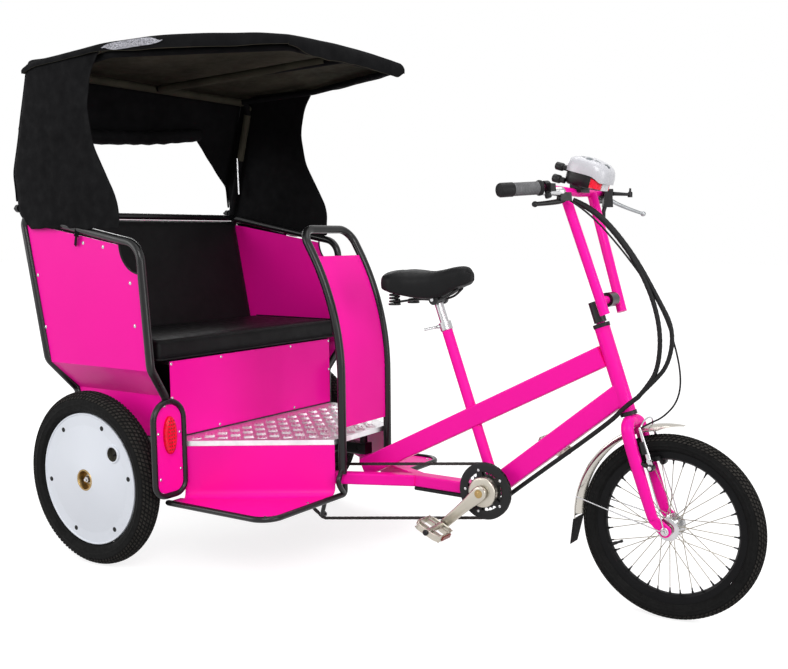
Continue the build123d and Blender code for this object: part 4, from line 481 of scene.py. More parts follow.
# Fork: oval blades from curved shoulders, leading dropouts and the axle's nuts
STEER_RUN, STEER_RISE = 81, 228
STEER_X, STEER_Z = 1595, 564
FORE = Vector((STEER_RISE, 0, STEER_RUN)).normalized()
BLADE_LINE = ((1606, 0, 537), (1607, 24, 538), (1611, 43, 528), (1618, 50, 503), (1640, 50, 434),
              (1665, 50, 362), (1688, 50, 296), (1693, 50, 281))
BLADE_SIZES = ((0, 19, 18), (8, 19, 17), (16, 18.5, 15), (24, 18.5, 13), (32, 18, 12.5), (40, 17, 11.5),
               (48, 15, 9), (54, 13.5, 7.5), (56, 9, 4))
BLADE_SIDES = 28
DROPOUT_LAYERS = ((45.5, 1.2), (46.5, 0), (53.5, 0), (54.5, 1.2))
NUT_WASHER = ((0, 11.5), (1.5, 11.5), (2.2, 10.5), (2.2, 0))
AXLE_NUT = ((0, 9), (6.5, 9), (7.8, 7.8), (7.8, 5), (12.5, 4.5), (12.5, 0))


def steer_spot(z):
    """The point of the steering axis at a height."""
    return (STEER_X + (STEER_Z - z) * STEER_RUN / STEER_RISE, 0, z)


def rounded(circles, sides=20):
    """The outline, seen from the side, round circles of X, Z and radius."""
    spots = sorted((x + r * math.cos(a), z + r * math.sin(a)) for x, z, r in circles for a in turns(sides))
    outline = []
    for line in (spots, spots[::-1]):
        half = []
        for spot in line:
            while len(half) > 1 and ((half[-1][0] - half[-2][0]) * (spot[1] - half[-2][1])
                                     <= (half[-1][1] - half[-2][1]) * (spot[0] - half[-2][0])):
                half.pop()
            half.append(spot)
        outline += half[:-1]
    return outline


fork = Piece()
for low, high, radius, sides in ((536, 550, 19, 32), (540, 780, 14.3, 24), (780, 862, 12.8, 24)):
    fork.tube([steer_spot(low), steer_spot(high)], radius, sides)
for sign, _ in SIDES:
    out = Vector((0, sign, 0))
    line = smooth_curve([(x, sign * y, z) for x, y, z in BLADE_LINE], 8)
    rows = []
    for k, spot in enumerate(line):
        way = (line[min(k + 1, len(line) - 1)] - line[max(k - 1, 0)]).normalized()
        thin = way.cross(FORE).normalized()
        deep = thin.cross(way).normalized()
        half_deep, half_thin = between(BLADE_SIZES, k, 1), between(BLADE_SIZES, k, 2)
        rows.append([spot + deep * half_deep * math.cos(a) + thin * half_thin * math.sin(a)
                     for a in turns(BLADE_SIDES)])
    fork.grid(rows, wrap=True)
    fork.add(rows[-1], [tuple(range(BLADE_SIDES))])
    plate = []
    for y, trim in DROPOUT_LAYERS:
        outline = rounded(((WHEELBASE, FRONT_R, 17 - trim), (1694, 284, 13.5 - trim)))
        plate.append([(x, sign * y, z) for x, z in outline])
    wide = min(len(ring) for ring in plate)
    plate = [ring[:wide] for ring in plate]
    fork.grid(plate, wrap=True)
    fork.add(plate[0], [tuple(range(wide))])
    fork.add(plate[-1], [tuple(range(wide))[::-1]])
    fork.disc(FRONT_AXLE + out * 54.5, out, NUT_WASHER, 24, 1)
    fork.disc(FRONT_AXLE + out * 56.2, out, AXLE_NUT, 6, 1)
    fork.disc(FRONT_AXLE + out * 45.5, -out, ((0, 9), (8.5, 9), (8.5, 0)), 16, 1)
fork.tube([(WHEELBASE, -50, FRONT_R), (WHEELBASE, 50, FRONT_R)], 5, 12, 1)
fork.settle("fork_blades", ["pink", "steel"], "steering", "pink_paint", "fork", sharp=45)

# Rim brakes: tapered arms on the fork's bosses, pads at the rim and the thin stays to the hub
BRAKE_ARM = ((-0.06, 3, 3), (0, 7.5, 3.6), (0.3, 6.8, 3.6), (0.7, 5, 3.2), (1, 4.2, 3), (1.04, 2, 2))
BRAKE_BRIDGE = ((1649, -50, 524), (1652, -34, 545), (1653, 0, 552), (1652, 34, 545), (1649, 50, 526))
brake = Piece()
for sign, _ in SIDES:
    out = Vector((0, sign, 0))
    low, high = Vector((1683, sign * 50, 426)), Vector((1649, sign * 50, 528))
    pad = Vector((1678, sign * 24, 444))
    brake.tube([(1656, sign * 50, 434), low], 6.2, 12, 1)
    brake.disc(low - out * 10, out, ((0, 7), (1, 9.5), (18, 9.5), (20, 7), (20, 0)), 18, 1)
    brake.disc(low + out * 9, out, ((0, 6), (3, 6), (4, 4), (4, 0)), 6)
    across = (high - low).normalized().cross(out).normalized()
    brake.grid([[low + (high - low) * share + across * wide * math.cos(a) + out * thick * math.sin(a)
                 for a in turns(14)] for share, wide, thick in BRAKE_ARM], wrap=True)
    brake.box(low + (high - low) * 0.52 - across * 4, (13, 16, 34), 1, about("Y", -18), 0.9)
    brake.box(pad, (50, 11, 12), 1, about("Y", -14.6), 0.85)
    brake.disc(pad, out, ((0, 3.5), (30, 3.5), (30, 0)), 10)
    brake.disc(pad + out * 6, out, ((0, 6), (6, 7.5), (9, 7.5), (9, 0)), 14, 1)
    brake.disc(pad + out * 28, out, ((0, 6.5), (5, 6.5), (6, 0)), 6)
    brake.tube([(1676, sign * 57, 420), (1704, sign * 61, 340), (1726, sign * 62, 268)], 1.8, 8)
brake.tube(smooth_curve(BRAKE_BRIDGE, 6), 2.4, 8)
brake.settle("rim_brake_arms", ["steel", "plastic"], "steering", "bright_steel", "front_brake")

# Crank: smooth arms, the stepped boss, the brass bolts, the chainring's guard and its bolts
CRANK_BOSS = ((0, 40), (0.8, 44.5), (19, 45.2), (22.5, 44.5), (24.5, 42.5), (25.3, 39.5), (25.6, 34),
              (25.8, 0))
CRANK_ARM = ((-22.5, 3, 3), (-21.5, 8.5, 6), (-17, 15.5, 7.8), (-8, 21.2, 8.5), (4, 22.5, 8.5), (25, 21, 8.2),
             (55, 17.8, 7.8), (100, 15.8, 7.5), (150, 15.2, 7.5), (166, 14.8, 7.2), (174, 12.5, 6.6),
             (178.5, 8, 5), (179.5, 3, 3))
ARM_Y, ARM_SIDES = 96, 28
BOLT_COLLAR = ((0, 12.8), (1.6, 12.8), (2.6, 11.5), (1.6, 9.8), (1.2, 0))
BOLT_HEAD = ((0, 7.4), (1.6, 7.4), (2, 6.6), (2, 0))
GUARD_RING = ((0, 58), (1.6, 57.5), (2.6, 60), (2.6, 81), (1.8, 84.5), (0, 85.5), (-0.6, 79), (-0.6, 62))
GUARD_BOLT = ((0, 4.2), (1.4, 4.2), (2, 3.2), (2, 0))
crank = Piece()
near = Vector((0, -1, 0))
crank.disc(CRANK_AXIS + near * 62.2, near, CRANK_BOSS, 72)
crank.disc(CRANK_AXIS + near * 62, -near, ((0, 8), (170, 8)), 20, 2)
for sign, _ in SIDES:
    out = Vector((0, sign, 0))
    along = ray(math.radians(CRANK_DEG[sign]))
    wide = along.cross(out)
    rows = [[CRANK_AXIS + along * reach + wide * half * power(math.cos(a), 0.7)
             + out * (ARM_Y + thick * power(math.sin(a), 0.5)) for a in turns(ARM_SIDES)]
            for reach, half, thick in CRANK_ARM]
    crank.grid(rows, wrap=True)
    crank.add(rows[0], [tuple(range(ARM_SIDES))])
    crank.add(rows[-1], [tuple(range(ARM_SIDES))[::-1]])
    crank.disc(CRANK_AXIS + out * 103.5, out, BOLT_COLLAR, 28, 1)
    crank.disc(CRANK_AXIS + out * 104.2, out, BOLT_HEAD, 6, 1)
    crank.disc(CRANK_AXIS + along * CRANK_L + out * 100, out, ((0, 5.8), (90, 5.8)), 16)
guard = CRANK_AXIS + near * 66.2
crank.turned(guard, near, GUARD_RING, 96, 2)
for degrees in range(36, 360, 72):
    spoke = ray(math.radians(degrees))
    crank.box(guard + spoke * 50 + near * 0.6, (19, 2.4, 16), 2, about("Y", -degrees))
    crank.disc(guard + near * 2.2 + spoke * 64.5, near, GUARD_BOLT, 14, 3)
crank.settle("crank_arms", ["alloy", "gold", "plastic", "steel"], "crank", "crank_metal", "crankset",
             sharp=45)

# Pedals: an open cage round the barrel, with pins, reflectors and a black axle cap, resting nose down
PEDAL_PITCH = about("Y", 24)
PEDAL_Y = 153
BARREL = ((0, 7), (1, 10.5), (16, 10.5), (22, 8.5), (66, 8.5), (72, 10.5), (88, 10.5), (89, 7))
AXLE_CAP = ((0, 8.8), (3.5, 8.8), (5.5, 7), (6, 0))
PIN = ((9, 2.4), (11.8, 2.2), (12.6, 1.2), (12.6, 0))
for sign, side in SIDES:
    out = Vector((0, sign, 0))
    middle = CRANK_AXIS + ray(math.radians(CRANK_DEG[sign])) * CRANK_L + out * PEDAL_Y
    cage = Piece()
    cage.disc(out * -44.5, out, BARREL, 24, 2)
    cage.disc(out * 44, out, AXLE_CAP, 20)
    rows = []
    for a in turns(72):
        spot = Vector((46 * power(math.cos(a), 0.45), 44 * power(math.sin(a), 0.55), 0))
        inward = -spot.normalized()
        high = 8.5 + 1.5 * abs(math.cos(a))
        ring = ((0, -high), (0, high), (3, high + 0.8), (5.8, high - 1), (5.8, 1 - high), (3, -high - 0.8))
        rows.append([spot + inward * reach + Vector((0, 0, rise)) for reach, rise in ring])
    rows.append(rows[0])
    cage.grid(rows, 2, wrap=True)
    for way in (1, -1):
        for y in (-19, 19):
            cage.box((way * 25.5, y, 0), (34, 5.5, 13), 2)
        cage.box((way * 47.2, 0, 0), (3.5, 44, 12.5), 1)
        for y in (-32, -12, 12, 32):
            for rise in (1, -1):
                cage.disc((way * 42.8, y, 0), (0, 0, rise), PIN, 8, 2)
    cage.verts = [middle + PEDAL_PITCH @ v for v in cage.verts]
    cage.settle(f"{side}_pedal_cage", ["plastic", "dark_red", "alloy"], f"{side}_pedal", "pedal_metal",
                f"pedal_{side}")

# Fasteners of the sheet panels, the trim of the cut corners and the lamps' inner lenses
SIDE_SCREWS = ((-257, 915), (-231, 747), (-28, 1020), (63, 1008), (178, 900), (191, 770))
LAMP_SCREWS = ((487, 536), (514, 454), (430, 448), (430, 334), (511, 314))
SEAT_SCREWS = ((389, 647), (173, 647), (389, 540), (187, 424))
STEP_SCREWS = ((442, 452), (656, 435), (665, 253), (654, 160))
CORNER_X, CORNER_Z, CORNER_R = 222, 1016, 88
LENS_DOT = ((0, 2.6), (1, 2.4), (1.6, 1.4), (1.7, 0))
heads = Piece()
for sign, _ in SIDES:
    for x, z in SIDE_SCREWS:
        heads.screw((x, sign * 479, z), (0, sign, 0))
    for panel_x, screws in ((313, LAMP_SCREWS), (242, SEAT_SCREWS)):
        for y, z in screws:
            heads.screw((panel_x, sign * y, z), (1, 0, 0), 4.5)
    for x, y in STEP_SCREWS:
        heads.screw((x, sign * y, 232), (0, 0, 1), 5)
    corner = Vector((CORNER_X, sign * 478, CORNER_Z))
    heads.tube([corner + ray(math.radians(172 + 90 * k / 20)) * CORNER_R for k in range(21)], 2.8, 8, 1)
    for k in range(-4, 5):
        for j in range(-1, 2):
            if (k / 5.2) ** 2 + (j / 2.0) ** 2 < 0.95:
                heads.disc((324.8, sign * (472 + 9.5 * j), 445 + 11 * k), (1, 0, 0), LENS_DOT, 8, 2)
heads.settle("panel_fasteners", ["steel", "rubber", "dark_red"], "chassis", "bright_steel")

# Lower steps: ends under the lamp panels, posts down to their rails and the strip along the seat's foot
STEP_END = ((350, 459), (286, 459), (286, 410), (302, 404), (350, 404))
STEP_BEND_R = 26
POST_LINE = ((699, 123, 318), (703, 141, 300), (704, 150, 283), (702, 140, 262), (695, 112, 236))
ends = Piece()
for sign, _ in SIDES:
    rows = []
    for x in (338, 328, 318, 308, 298):
        y = 398 - 252 * (x - 303) / 383
        row = [(x - 0.8, sign * (y - 1.3), 395.5)]
        for a in [math.pi / 12 * k for k in range(7)]:
            reach = STEP_BEND_R * (1 - math.cos(a)) - 1.5
            row.append((x + 0.55 * reach, sign * (y + 0.836 * reach), 258.2 - STEP_BEND_R * math.sin(a)))
        rows.append(row)
    ends.grid(rows)
    ends.prism(*([(x, sign * y, z) for x, y in STEP_END] for z in (230.2, 231.6)))
    ends.tube([(x, sign * 468, 231) for x in (326, 296, 289, 287)], [9, 9, 7, 3], 18, 1)
    ends.tube(smooth_curve([(x, sign * y, z) for x, y, z in POST_LINE], 6), 8.5, 14, 1)
ends.tube([(244, -398, 414), (244, 398, 414)], 2, 8, 1)
ends.settle("step_ends", ["pink", "black"], "chassis", "pink_paint")

# Hood canvas: X, half width, edge height and crown of the roof, and the curtains' edges as height and X
ROOF = ((-250, 494, 1580, 10), (120, 494, 1604, 14), (300, 448, 1620, 14), (602, 312, 1619, 12),
        (655, 281, 1606, 8))
CURTAIN_FRONT = ((1062, 160), (1100, 164), (1150, 158), (1216, 120), (1315, 62), (1430, 40), (1528, 62),
                 (1594, 110))
CURTAIN_REAR = ((1062, -262), (1100, -318), (1121, -330), (1241, -345), (1572, -250), (1594, -244))
REAR_SLOPE = ((1570, -248), (1241, -343), (1152, -333))
CLOTH_T = 2.2


def cloth_sheet(obj, flat, held, *nodes, levels=1):
    thick = obj.modifiers.new("thick", "SOLIDIFY")
    thick.thickness = CLOTH_T / 1000
    thick.offset = 0
    thick.material_offset = 1 if len(obj.data.materials) > 1 else 0
    if levels:
        obj.modifiers.new("smooth", "SUBSURF").levels = levels
    settle(applied(obj), "chassis", "canvas", *nodes)


# Roof: hems hang from its four sides
FRONT_DROP, SIDE_HEM, REAR_HEM = 54, 40, 22
COLUMNS, SKIRT, ROOF_STEPS = 44, 4, 52
ROOF_REAR_X, ROOF_L = -250, 905


def turn_over(past):
    """How far a hem stands out, by its share past the edge."""
    return 7 * min(1, past * 2.2)


def roof_spot(i, j):
    """A point of the roof by its row and column, which run past the edges on the hems."""
    x = ROOF_REAR_X + ROOF_L * max(0, min(i, ROOF_STEPS)) / ROOF_STEPS
    v = max(0, min(COLUMNS, j)) * 2 / COLUMNS - 1
    past_front, past_rear = max(0, i - ROOF_STEPS) / SKIRT, max(0, -i) / SKIRT
    past_side = max(0, -j, j - COLUMNS) / SKIRT
    half, edge, crown = eased(ROOF, x, 1, 30), eased(ROOF, x, 2, 60), eased(ROOF, x, 3, 60)
    side = 1 if v > 0 else -1
    y = v * half
    z = edge + crown * (1 - v * v) + 3.0 - 13 * max(0, (-170 - x) / 80) ** 2
    hang_front = FRONT_DROP * (0.35 + 0.65 * unit((v + 1.15) / 0.5) * unit((1.08 - v) / 0.2))
    hang_side = REAR_HEM + (SIDE_HEM - REAR_HEM) * unit((x - 100) / 150)
    hang_side += (FRONT_DROP * 0.5 - SIDE_HEM) * unit((x - 520) / 130)
    z -= max(past_front * hang_front, past_side * hang_side, past_rear * REAR_HEM)
    out_x = turn_over(past_front) - turn_over(past_rear)
    out_y = side * turn_over(past_side)
    sag = 4.5 * math.sin(math.pi * unit((x + 205) / 330)) * (1 - v ** 4)
    wave = 2.2 * ripple((x, y, 0), 0.006, 3) + 1.6 * ripple((x * 0.4, y, 0), 0.014, 8) * (0.3 + abs(v))
    if past_front:
        out_x += 3.5 * ripple((0, y, 0), 0.03, 5) * past_front
        z += 5.0 * ripple((0, y, 2), 0.021, 7) * past_front
    if past_side:
        out_y += side * 2.5 * ripple((x, 0, 0), 0.024, 4) * past_side
    return (x + out_x, y + out_y, z - sag + wave * (1 - 0.6 * max(past_front, past_side)))


roof = Piece()
roof.grid([[roof_spot(i, j) for j in range(-SKIRT, COLUMNS + SKIRT + 1)]
           for i in range(-SKIRT, ROOF_STEPS + SKIRT + 1)])
# The underside takes the lighter olive colour, which is partly painted backlight.
cloth_sheet(roof.done("hood_roof_canvas", ["lining", "canvas"], 60), (1.09, 1.07), "stretched", "hood_roof")

# Side curtains and their straps
CURTAIN_TOP, CURTAIN_LOW = 1590, 1064
CURTAIN_HEM = {1: 1040, -1: CURTAIN_LOW}
CURTAIN_FLAT = {1: (0.47, 0.565), -1: (0.47, 0.54)}
STRAP = ((-40, 488, 1066), (-46, 490, 1040), (-58, 486, 1012))


def curtain_spot(sign, z, s):
    """A point of a curtain at a height before its hem waves, a share of the way from its rear edge."""
    front, rear = eased(CURTAIN_FRONT, z, 1, 22), eased(CURTAIN_REAR, z, 1, 12)
    x = rear + (front - rear) * s
    y = 494.0
    y -= 9 * math.exp(-((x - rear) / 16) ** 2)
    y -= 6 * max(0, (z - 1572) / 18) ** 2
    y += 5 * math.sin(math.pi * s) * math.sin(math.pi * min(1, (z - CURTAIN_LOW) / 510))
    fold = abs(ripple((x * 0.55 - z * 0.3, 0, z * 0.5 + x * 0.25), 0.03, 2 + sign))
    y -= 7 * max(0, (1230 - z) / 170) * (fold - 0.2)
    y -= 3.2 * (abs(ripple((x + 0.5 * z, 0, 0.2 * z), 0.016, 6 + sign)) - 0.15)
    y += 3 * math.exp(-((front - x) / 9) ** 2)
    hem = 7 * ripple((x, 0, 0), 0.025, 9) * max(0, 1 - (z - CURTAIN_LOW) / 40)
    return (x, sign * y, z + hem)


for sign, side in SIDES:
    curtain = Piece()
    hem_z = CURTAIN_HEM[sign]
    curtain.grid([[curtain_spot(sign, hem_z + (CURTAIN_TOP - hem_z) * i / 40, j / 36) for j in range(37)]
                  for i in range(41)])
    cloth_sheet(curtain.done(f"hood_curtain_{side}", ["canvas"], 60), CURTAIN_FLAT[sign], "hung",
                f"hood_side_{side}")
    strap = Piece()
    spots = [Vector((x, sign * y, z)) for x, y, z in STRAP]
    for a, b in zip(spots, spots[1:]):
        strap.box((a + b) / 2, ((b - a).length * 1.05, 2, 16), 0, (b - a).to_track_quat("X", "Z").to_matrix())
    strap.settle(f"curtain_strap_{side}", ["canvas"], "chassis", "canvas")

# Rear curtain: a full-width top panel, a gusset down each side and the middle rolled up
ROLL_Z, GUSSET_IN, REAR_HALF = 1420, 250, 488
REAR_TOP, GUSSET_LOW = 1582, 1152
INNER, OUTER = 14, 12
ROLL_HALF, ROLL_DEG, ROLL_R, ROLL_R_LOSS = GUSSET_IN + 14, 28, 25, 17


def rear_spot(y, z):
    bulge = 3.0 * ripple((y, z, 0), 0.008, 12) + 5 * (abs(ripple((y, z * 0.4, 0), 0.02, 14)) - 0.2)
    return (eased(REAR_SLOPE, z, 1, 20) - 3 + bulge, y, z)


def roll_z(y):
    """The height of the rolled part's top, lower on the right."""
    return ROLL_Z - 15 + 0.09 * max(-GUSSET_IN, min(GUSSET_IN, y))


def roll_spot(i, y):
    """A point of the roll by its step round the spiral."""
    turn = math.radians(-90 + ROLL_DEG * i)
    reach = ROLL_R - ROLL_R_LOSS * i / 32
    reach_dented = reach + 2.0 * ripple((y, reach, turn), 0.03, 15) + 1.5 * math.sin(y * 0.09)
    sag = 9 * (1 - (y / ROLL_HALF) ** 2)
    return (between(REAR_SLOPE, ROLL_Z) + 22 + reach_dented * math.cos(turn), y,
            roll_z(y) - 4 - sag + reach_dented * math.sin(turn))


columns = [-REAR_HALF + (REAR_HALF - GUSSET_IN) * k / OUTER for k in range(OUTER)]
columns += [-GUSSET_IN + 2 * GUSSET_IN * k / INNER for k in range(INNER)]
columns += [GUSSET_IN + (REAR_HALF - GUSSET_IN) * k / OUTER for k in range(OUTER + 1)]
rear = Piece()
rear.grid([[rear_spot(y, REAR_TOP - (REAR_TOP - roll_z(y)) * i / 10) for y in columns] for i in range(11)])
for sign, _ in SIDES:
    top = roll_z(sign * GUSSET_IN)
    rows = []
    for z in [top - (top - GUSSET_LOW) * i / 16 for i in range(17)]:
        inner = between(((GUSSET_LOW, 478), (1236, 474), (top, GUSSET_IN)), z)
        rows.append([rear_spot(sign * (inner + (REAR_HALF - inner) * k / OUTER), z)
                     for k in range(OUTER + 1)])
    rear.grid(rows)
obj = rear.done("hood_rear_canvas", ["canvas"], 60)
obj.modifiers.new("weld", "WELD").merge_threshold = 0.0008
cloth_sheet(applied(obj), (0.98, 0.43), "hung", "hood_rear")
roll = Piece()
roll.grid([[roll_spot(i, -ROLL_HALF + 2 * ROLL_HALF * k / 30) for k in range(31)] for i in range(33)])
cloth_sheet(roll.done("rear_curtain_roll", ["canvas"], 70), (0.53, 0.26), "folded", levels=0)

# Sleeves on the hood's tubes, the loop strip on the near hem and a bright strut in the far corner
SLEEVE_R = 13.4
LOOP_X, LOOP_L, LOOP_HALF_W, LOOP_STEPS = 138, 186, 11, 24
sleeves = Piece()
sleeves.tube([(-205, -436, 1556), (-205, 436, 1556)], SLEEVE_R, 14)
for sign, _ in SIDES:
    sleeves.tube([(-216, sign * 478, 1514), (-262, sign * 478, 1338)], SLEEVE_R, 14)
    sleeves.disc((-208, sign * 478, 1538), (0, sign, 0), ((-6, 9), (0, 12), (6, 9)), 12)
rows = []
for k in range(LOOP_STEPS + 1):
    x = LOOP_X + LOOP_L * k / LOOP_STEPS
    half_w = LOOP_HALF_W * (1 - abs(2 * k / LOOP_STEPS - 1) ** 6)
    half, edge = eased(ROOF, x, 1, 30), eased(ROOF, x, 2, 60) + 3
    rows.append([(x - 3 * j, -(half + 12.5), edge - 17 + (2 * j / 6 - 1) * half_w) for j in range(7)])
sleeves.grid(rows, 1)
sleeves.tube([(-262, 462, 1346), (-258, 462, 1204)], 3.2, 10, 2)
sleeves.tube([(-180, 0, 1556), (200, 0, 1573), (560, 0, 1590)], 13.5, 14)
sleeves.settle("hood_tube_sleeve", ["lining", "loop", "steel"], "chassis", "canvas")

# Seat cushion and backrest
SEAT_HALF, SEAT_REAR_X, SEAT_FRONT_X, SEAT_LOW, SEAT_TOP = 438, -170, 241, 660, 720
BACK_HALF, BACK_LOW, BACK_TOP = 458, 668, 1103
BACK_FOOT, BACK_HEAD = (-226, 662), (-318, 1111)
VOXEL, SWELL_FRAMES, SWELL_PRESSURE = 0.0085, 14, 4


def stuffed(name, replaced, corners, cap):
    """A pad swollen by cloth pressure, by a cap at most, from a block's eight corners, lower four first."""
    block = Piece()
    block.prism(corners[:4], corners[4:])
    obj = block.done(name, ["vinyl"], 60)
    fine = obj.modifiers.new("fine", "REMESH")
    fine.mode = "VOXEL"
    fine.voxel_size = VOXEL
    applied(obj)
    start = [v.co.copy() for v in obj.data.vertices]
    cloth = obj.modifiers.new("cloth", "CLOTH")
    cloth.settings.use_pressure = True
    cloth.settings.uniform_pressure_force = SWELL_PRESSURE
    cloth.settings.effector_weights.gravity = 0
    for step in range(1, SWELL_FRAMES + 1):
        bpy.context.scene.frame_set(step)
    applied(obj)
    for vert, was in zip(obj.data.vertices, start):
        moved = vert.co - was
        if moved.length > cap / 1000:
            vert.co = was + moved.normalized() * cap / 1000
    obj.data.materials.clear()
    obj.data.materials.append(LOOKS["vinyl"])
    obj.modifiers.new("smooth", "SMOOTH").iterations = 3
    applied(obj)
    obj.data.shade_smooth()
    settle(obj, "chassis", "seat_vinyl", replaced)


def back_x(z, ahead):
    """X of a place ahead of the backrest's panel at a height."""
    share = (z - BACK_FOOT[1]) / (BACK_HEAD[1] - BACK_FOOT[1])
    return BACK_FOOT[0] + share * (BACK_HEAD[0] - BACK_FOOT[0]) + ahead


def eight(half, edges):
    """Corners from the rear and front X and the height of the bottom, then of the top."""
    return [(x, side * half, z) for rear, front, z in edges
            for x, side in ((rear, -1), (front, -1), (front, 1), (rear, 1))]


seat = [(SEAT_REAR_X, SEAT_FRONT_X, z) for z in (SEAT_LOW, SEAT_TOP)]
back = [(back_x(z, 8), back_x(z, 40), z) for z in (BACK_LOW, BACK_TOP)]
stuffed("seat_pad", "seat_cushion", eight(SEAT_HALF, seat), 7)
stuffed("back_pad", "backrest", eight(BACK_HALF, back), 6)
PIPING = ((-160, -440), (238, -440), (246, -430), (246, 430), (238, 440), (-160, 440))
piping = Piece()
for z in (664, 724):
    piping.tube([(x, y, z) for x, y in PIPING], 2.8, 8)
piping.settle("seat_pad_piping", ["vinyl"], "chassis", "seat_vinyl")

# Saddle: X, half width, top Z and lower Z of its sections
SADDLE = ((811, 40, 920, 894), (818, 74, 929, 884), (836, 99, 937, 876), (866, 107, 941, 868),
          (902, 98, 940, 860), (940, 78, 937, 853), (978, 58, 938, 852), (1012, 43, 944, 862),
          (1042, 35, 951, 880), (1068, 31, 954, 892), (1088, 23, 950, 898), (1099, 8, 932, 912))
SADDLE_STEPS, SADDLE_SIDES = 56, 40
form = Piece()
rows = []
for k in range(SADDLE_STEPS + 1):
    x = SADDLE[0][0] + (SADDLE[-1][0] - SADDLE[0][0]) * k / SADDLE_STEPS
    half, top, low = (eased(SADDLE, x, column, 7) for column in (1, 2, 3))
    middle = low + (top - low) * 0.35
    row = []
    for a in turns(SADDLE_SIDES):
        d = math.sin(a)
        y = half * power(math.cos(a), 0.75)
        z = middle + power(d, 0.62 if d > 0 else 0.3) * ((top - middle) if d > 0 else (middle - low))
        groove = 3.5 * math.exp(-(y / 9) ** 2) * max(0, 1 - abs(x - 900) / 110) if d > 0 else 0
        row.append((x, y, z - groove))
    rows.append(row)
form.grid(rows, wrap=True)
first, last = range(SADDLE_SIDES), range(SADDLE_STEPS * SADDLE_SIDES, (SADDLE_STEPS + 1) * SADDLE_SIDES)
form.faces += [tuple(first), tuple(last)[::-1]]
form.slots += [0, 0]
obj = form.done("saddle_cover", ["saddle"], 50)
obj.modifiers.new("smooth", "SUBSURF").levels = 1
settle(applied(obj), "chassis", "saddle_vinyl", "saddle")

# Saddle springs: two coils with cups, the rails and the clamp
COIL_X, COIL_Y, COIL_R, COIL_LOW, COIL_H, COIL_TURNS = 854, 52, 14.5, 838, 44, 4.5
COIL_CUP = ((0, 12), (0.5, 19), (6, 19), (6.5, 12))
RAIL = ((1056, 14, 886), (1022, 22, 862), (985, 24, 852), (930, 24, 851), (886, 40, 846),
        (COIL_X, COIL_Y, 840))
CLAMP = ((0, 10), (1, 16.5), (11, 16.5), (13, 14), (51, 14), (53, 16.5), (63, 16.5), (64, 10))
coils = Piece()
for sign, _ in SIDES:
    helix = []
    for share in [k / 108 for k in range(109)]:
        a = 2 * math.pi * COIL_TURNS * share
        helix.append((COIL_X + COIL_R * math.cos(a), sign * COIL_Y + COIL_R * math.sin(a),
                      COIL_LOW + COIL_H * share))
    coils.tube(helix, 3.4, 8)
    for z in (832, 878):
        coils.disc((COIL_X, sign * COIL_Y, z), (0, 0, 1), COIL_CUP, 24)
    coils.tube(smooth_curve([(x, sign * y, z) for x, y, z in RAIL], 8), 3.6, 10)
coils.disc((980, -32, 852), (0, 1, 0), CLAMP, 24)
coils.disc((980, -40, 852), (0, 1, 0), ((0, 6), (80, 6)), 6, 1)
coils.settle("saddle_coils", ["black", "steel"], "chassis", "black_plastic", "saddle_springs")

# Chains: side plates, pins and rollers along the belt lines round the sprockets
CHAIN_PITCH, PLATE_R = 12.7, 4.1
JACKSHAFT = (430, 252, 34)
FRONT_LOOP = ((CRANK_AXIS.x, CRANK_AXIS.z, 81), JACKSHAFT, (574, 137, 14))
REAR_LOOP = (JACKSHAFT, (0, REAR_R, 46))


def belt(circles, pitch):
    """Points one pitch apart along the loop round circles of X, Z and radius, counter-clockwise."""
    normals = []
    for (x0, z0, r0), (x1, z1, r1) in zip(circles, (*circles[1:], circles[0])):
        along, apart = math.atan2(z1 - z0, x1 - x0), math.hypot(x1 - x0, z1 - z0)
        normals.append(along - math.acos((r0 - r1) / apart))
    path = []
    for k, (x, z, r) in enumerate(circles):
        first, last = normals[k - 1], normals[k]
        while last < first:
            last += 2 * math.pi
        for a in [first + (last - first) * s / 40 for s in range(41)]:
            path.append(Vector((x + r * math.cos(a), z + r * math.sin(a))))
    path.append(path[0])
    total = sum((b - a).length for a, b in zip(path, path[1:]))
    links = 2 * round(total / pitch / 2)
    spots, walked, k = [], 0.0, 0
    for goal in [total * n / links for n in range(links)]:
        while walked + (path[k + 1] - path[k]).length < goal:
            walked += (path[k + 1] - path[k]).length
            k += 1
        share = (goal - walked) / max((path[k + 1] - path[k]).length, 1e-9)
        spots.append(path[k].lerp(path[k + 1], share))
    return spots


def chain(piece, circles, y):
    spots = belt(circles, CHAIN_PITCH)
    for n, here in enumerate(spots):
        after = spots[(n + 1) % len(spots)]
        along = (after - here).normalized()
        up = Vector((-along.y, along.x))
        outline = [spot + (along * math.cos(a) * way + up * math.sin(a) * way) * PLATE_R
                   for spot, way in ((here, -1), (after, 1)) for a in map(math.radians, (-75, -25, 25, 75))]
        for sign in (1, -1):
            faces_y = (3.2, 4.3) if n % 2 else (2.1, 3.1)
            piece.prism(*([(p.x, y + sign * side, p.y) for p in outline] for side in faces_y))
        piece.disc((here.x, y - 5.0, here.y), (0, 1, 0), ((0, 1.8), (10, 1.8)), 8)
        piece.disc((here.x, y - 2.1, here.y), (0, 1, 0), ((0, 3.9), (4.2, 3.9)), 10)


links = Piece()
chain(links, FRONT_LOOP, -60)
chain(links, REAR_LOOP, 76)
links.settle("roller_chains", ["chain"], "chassis", "chain_steel", "chains", sharp=30)

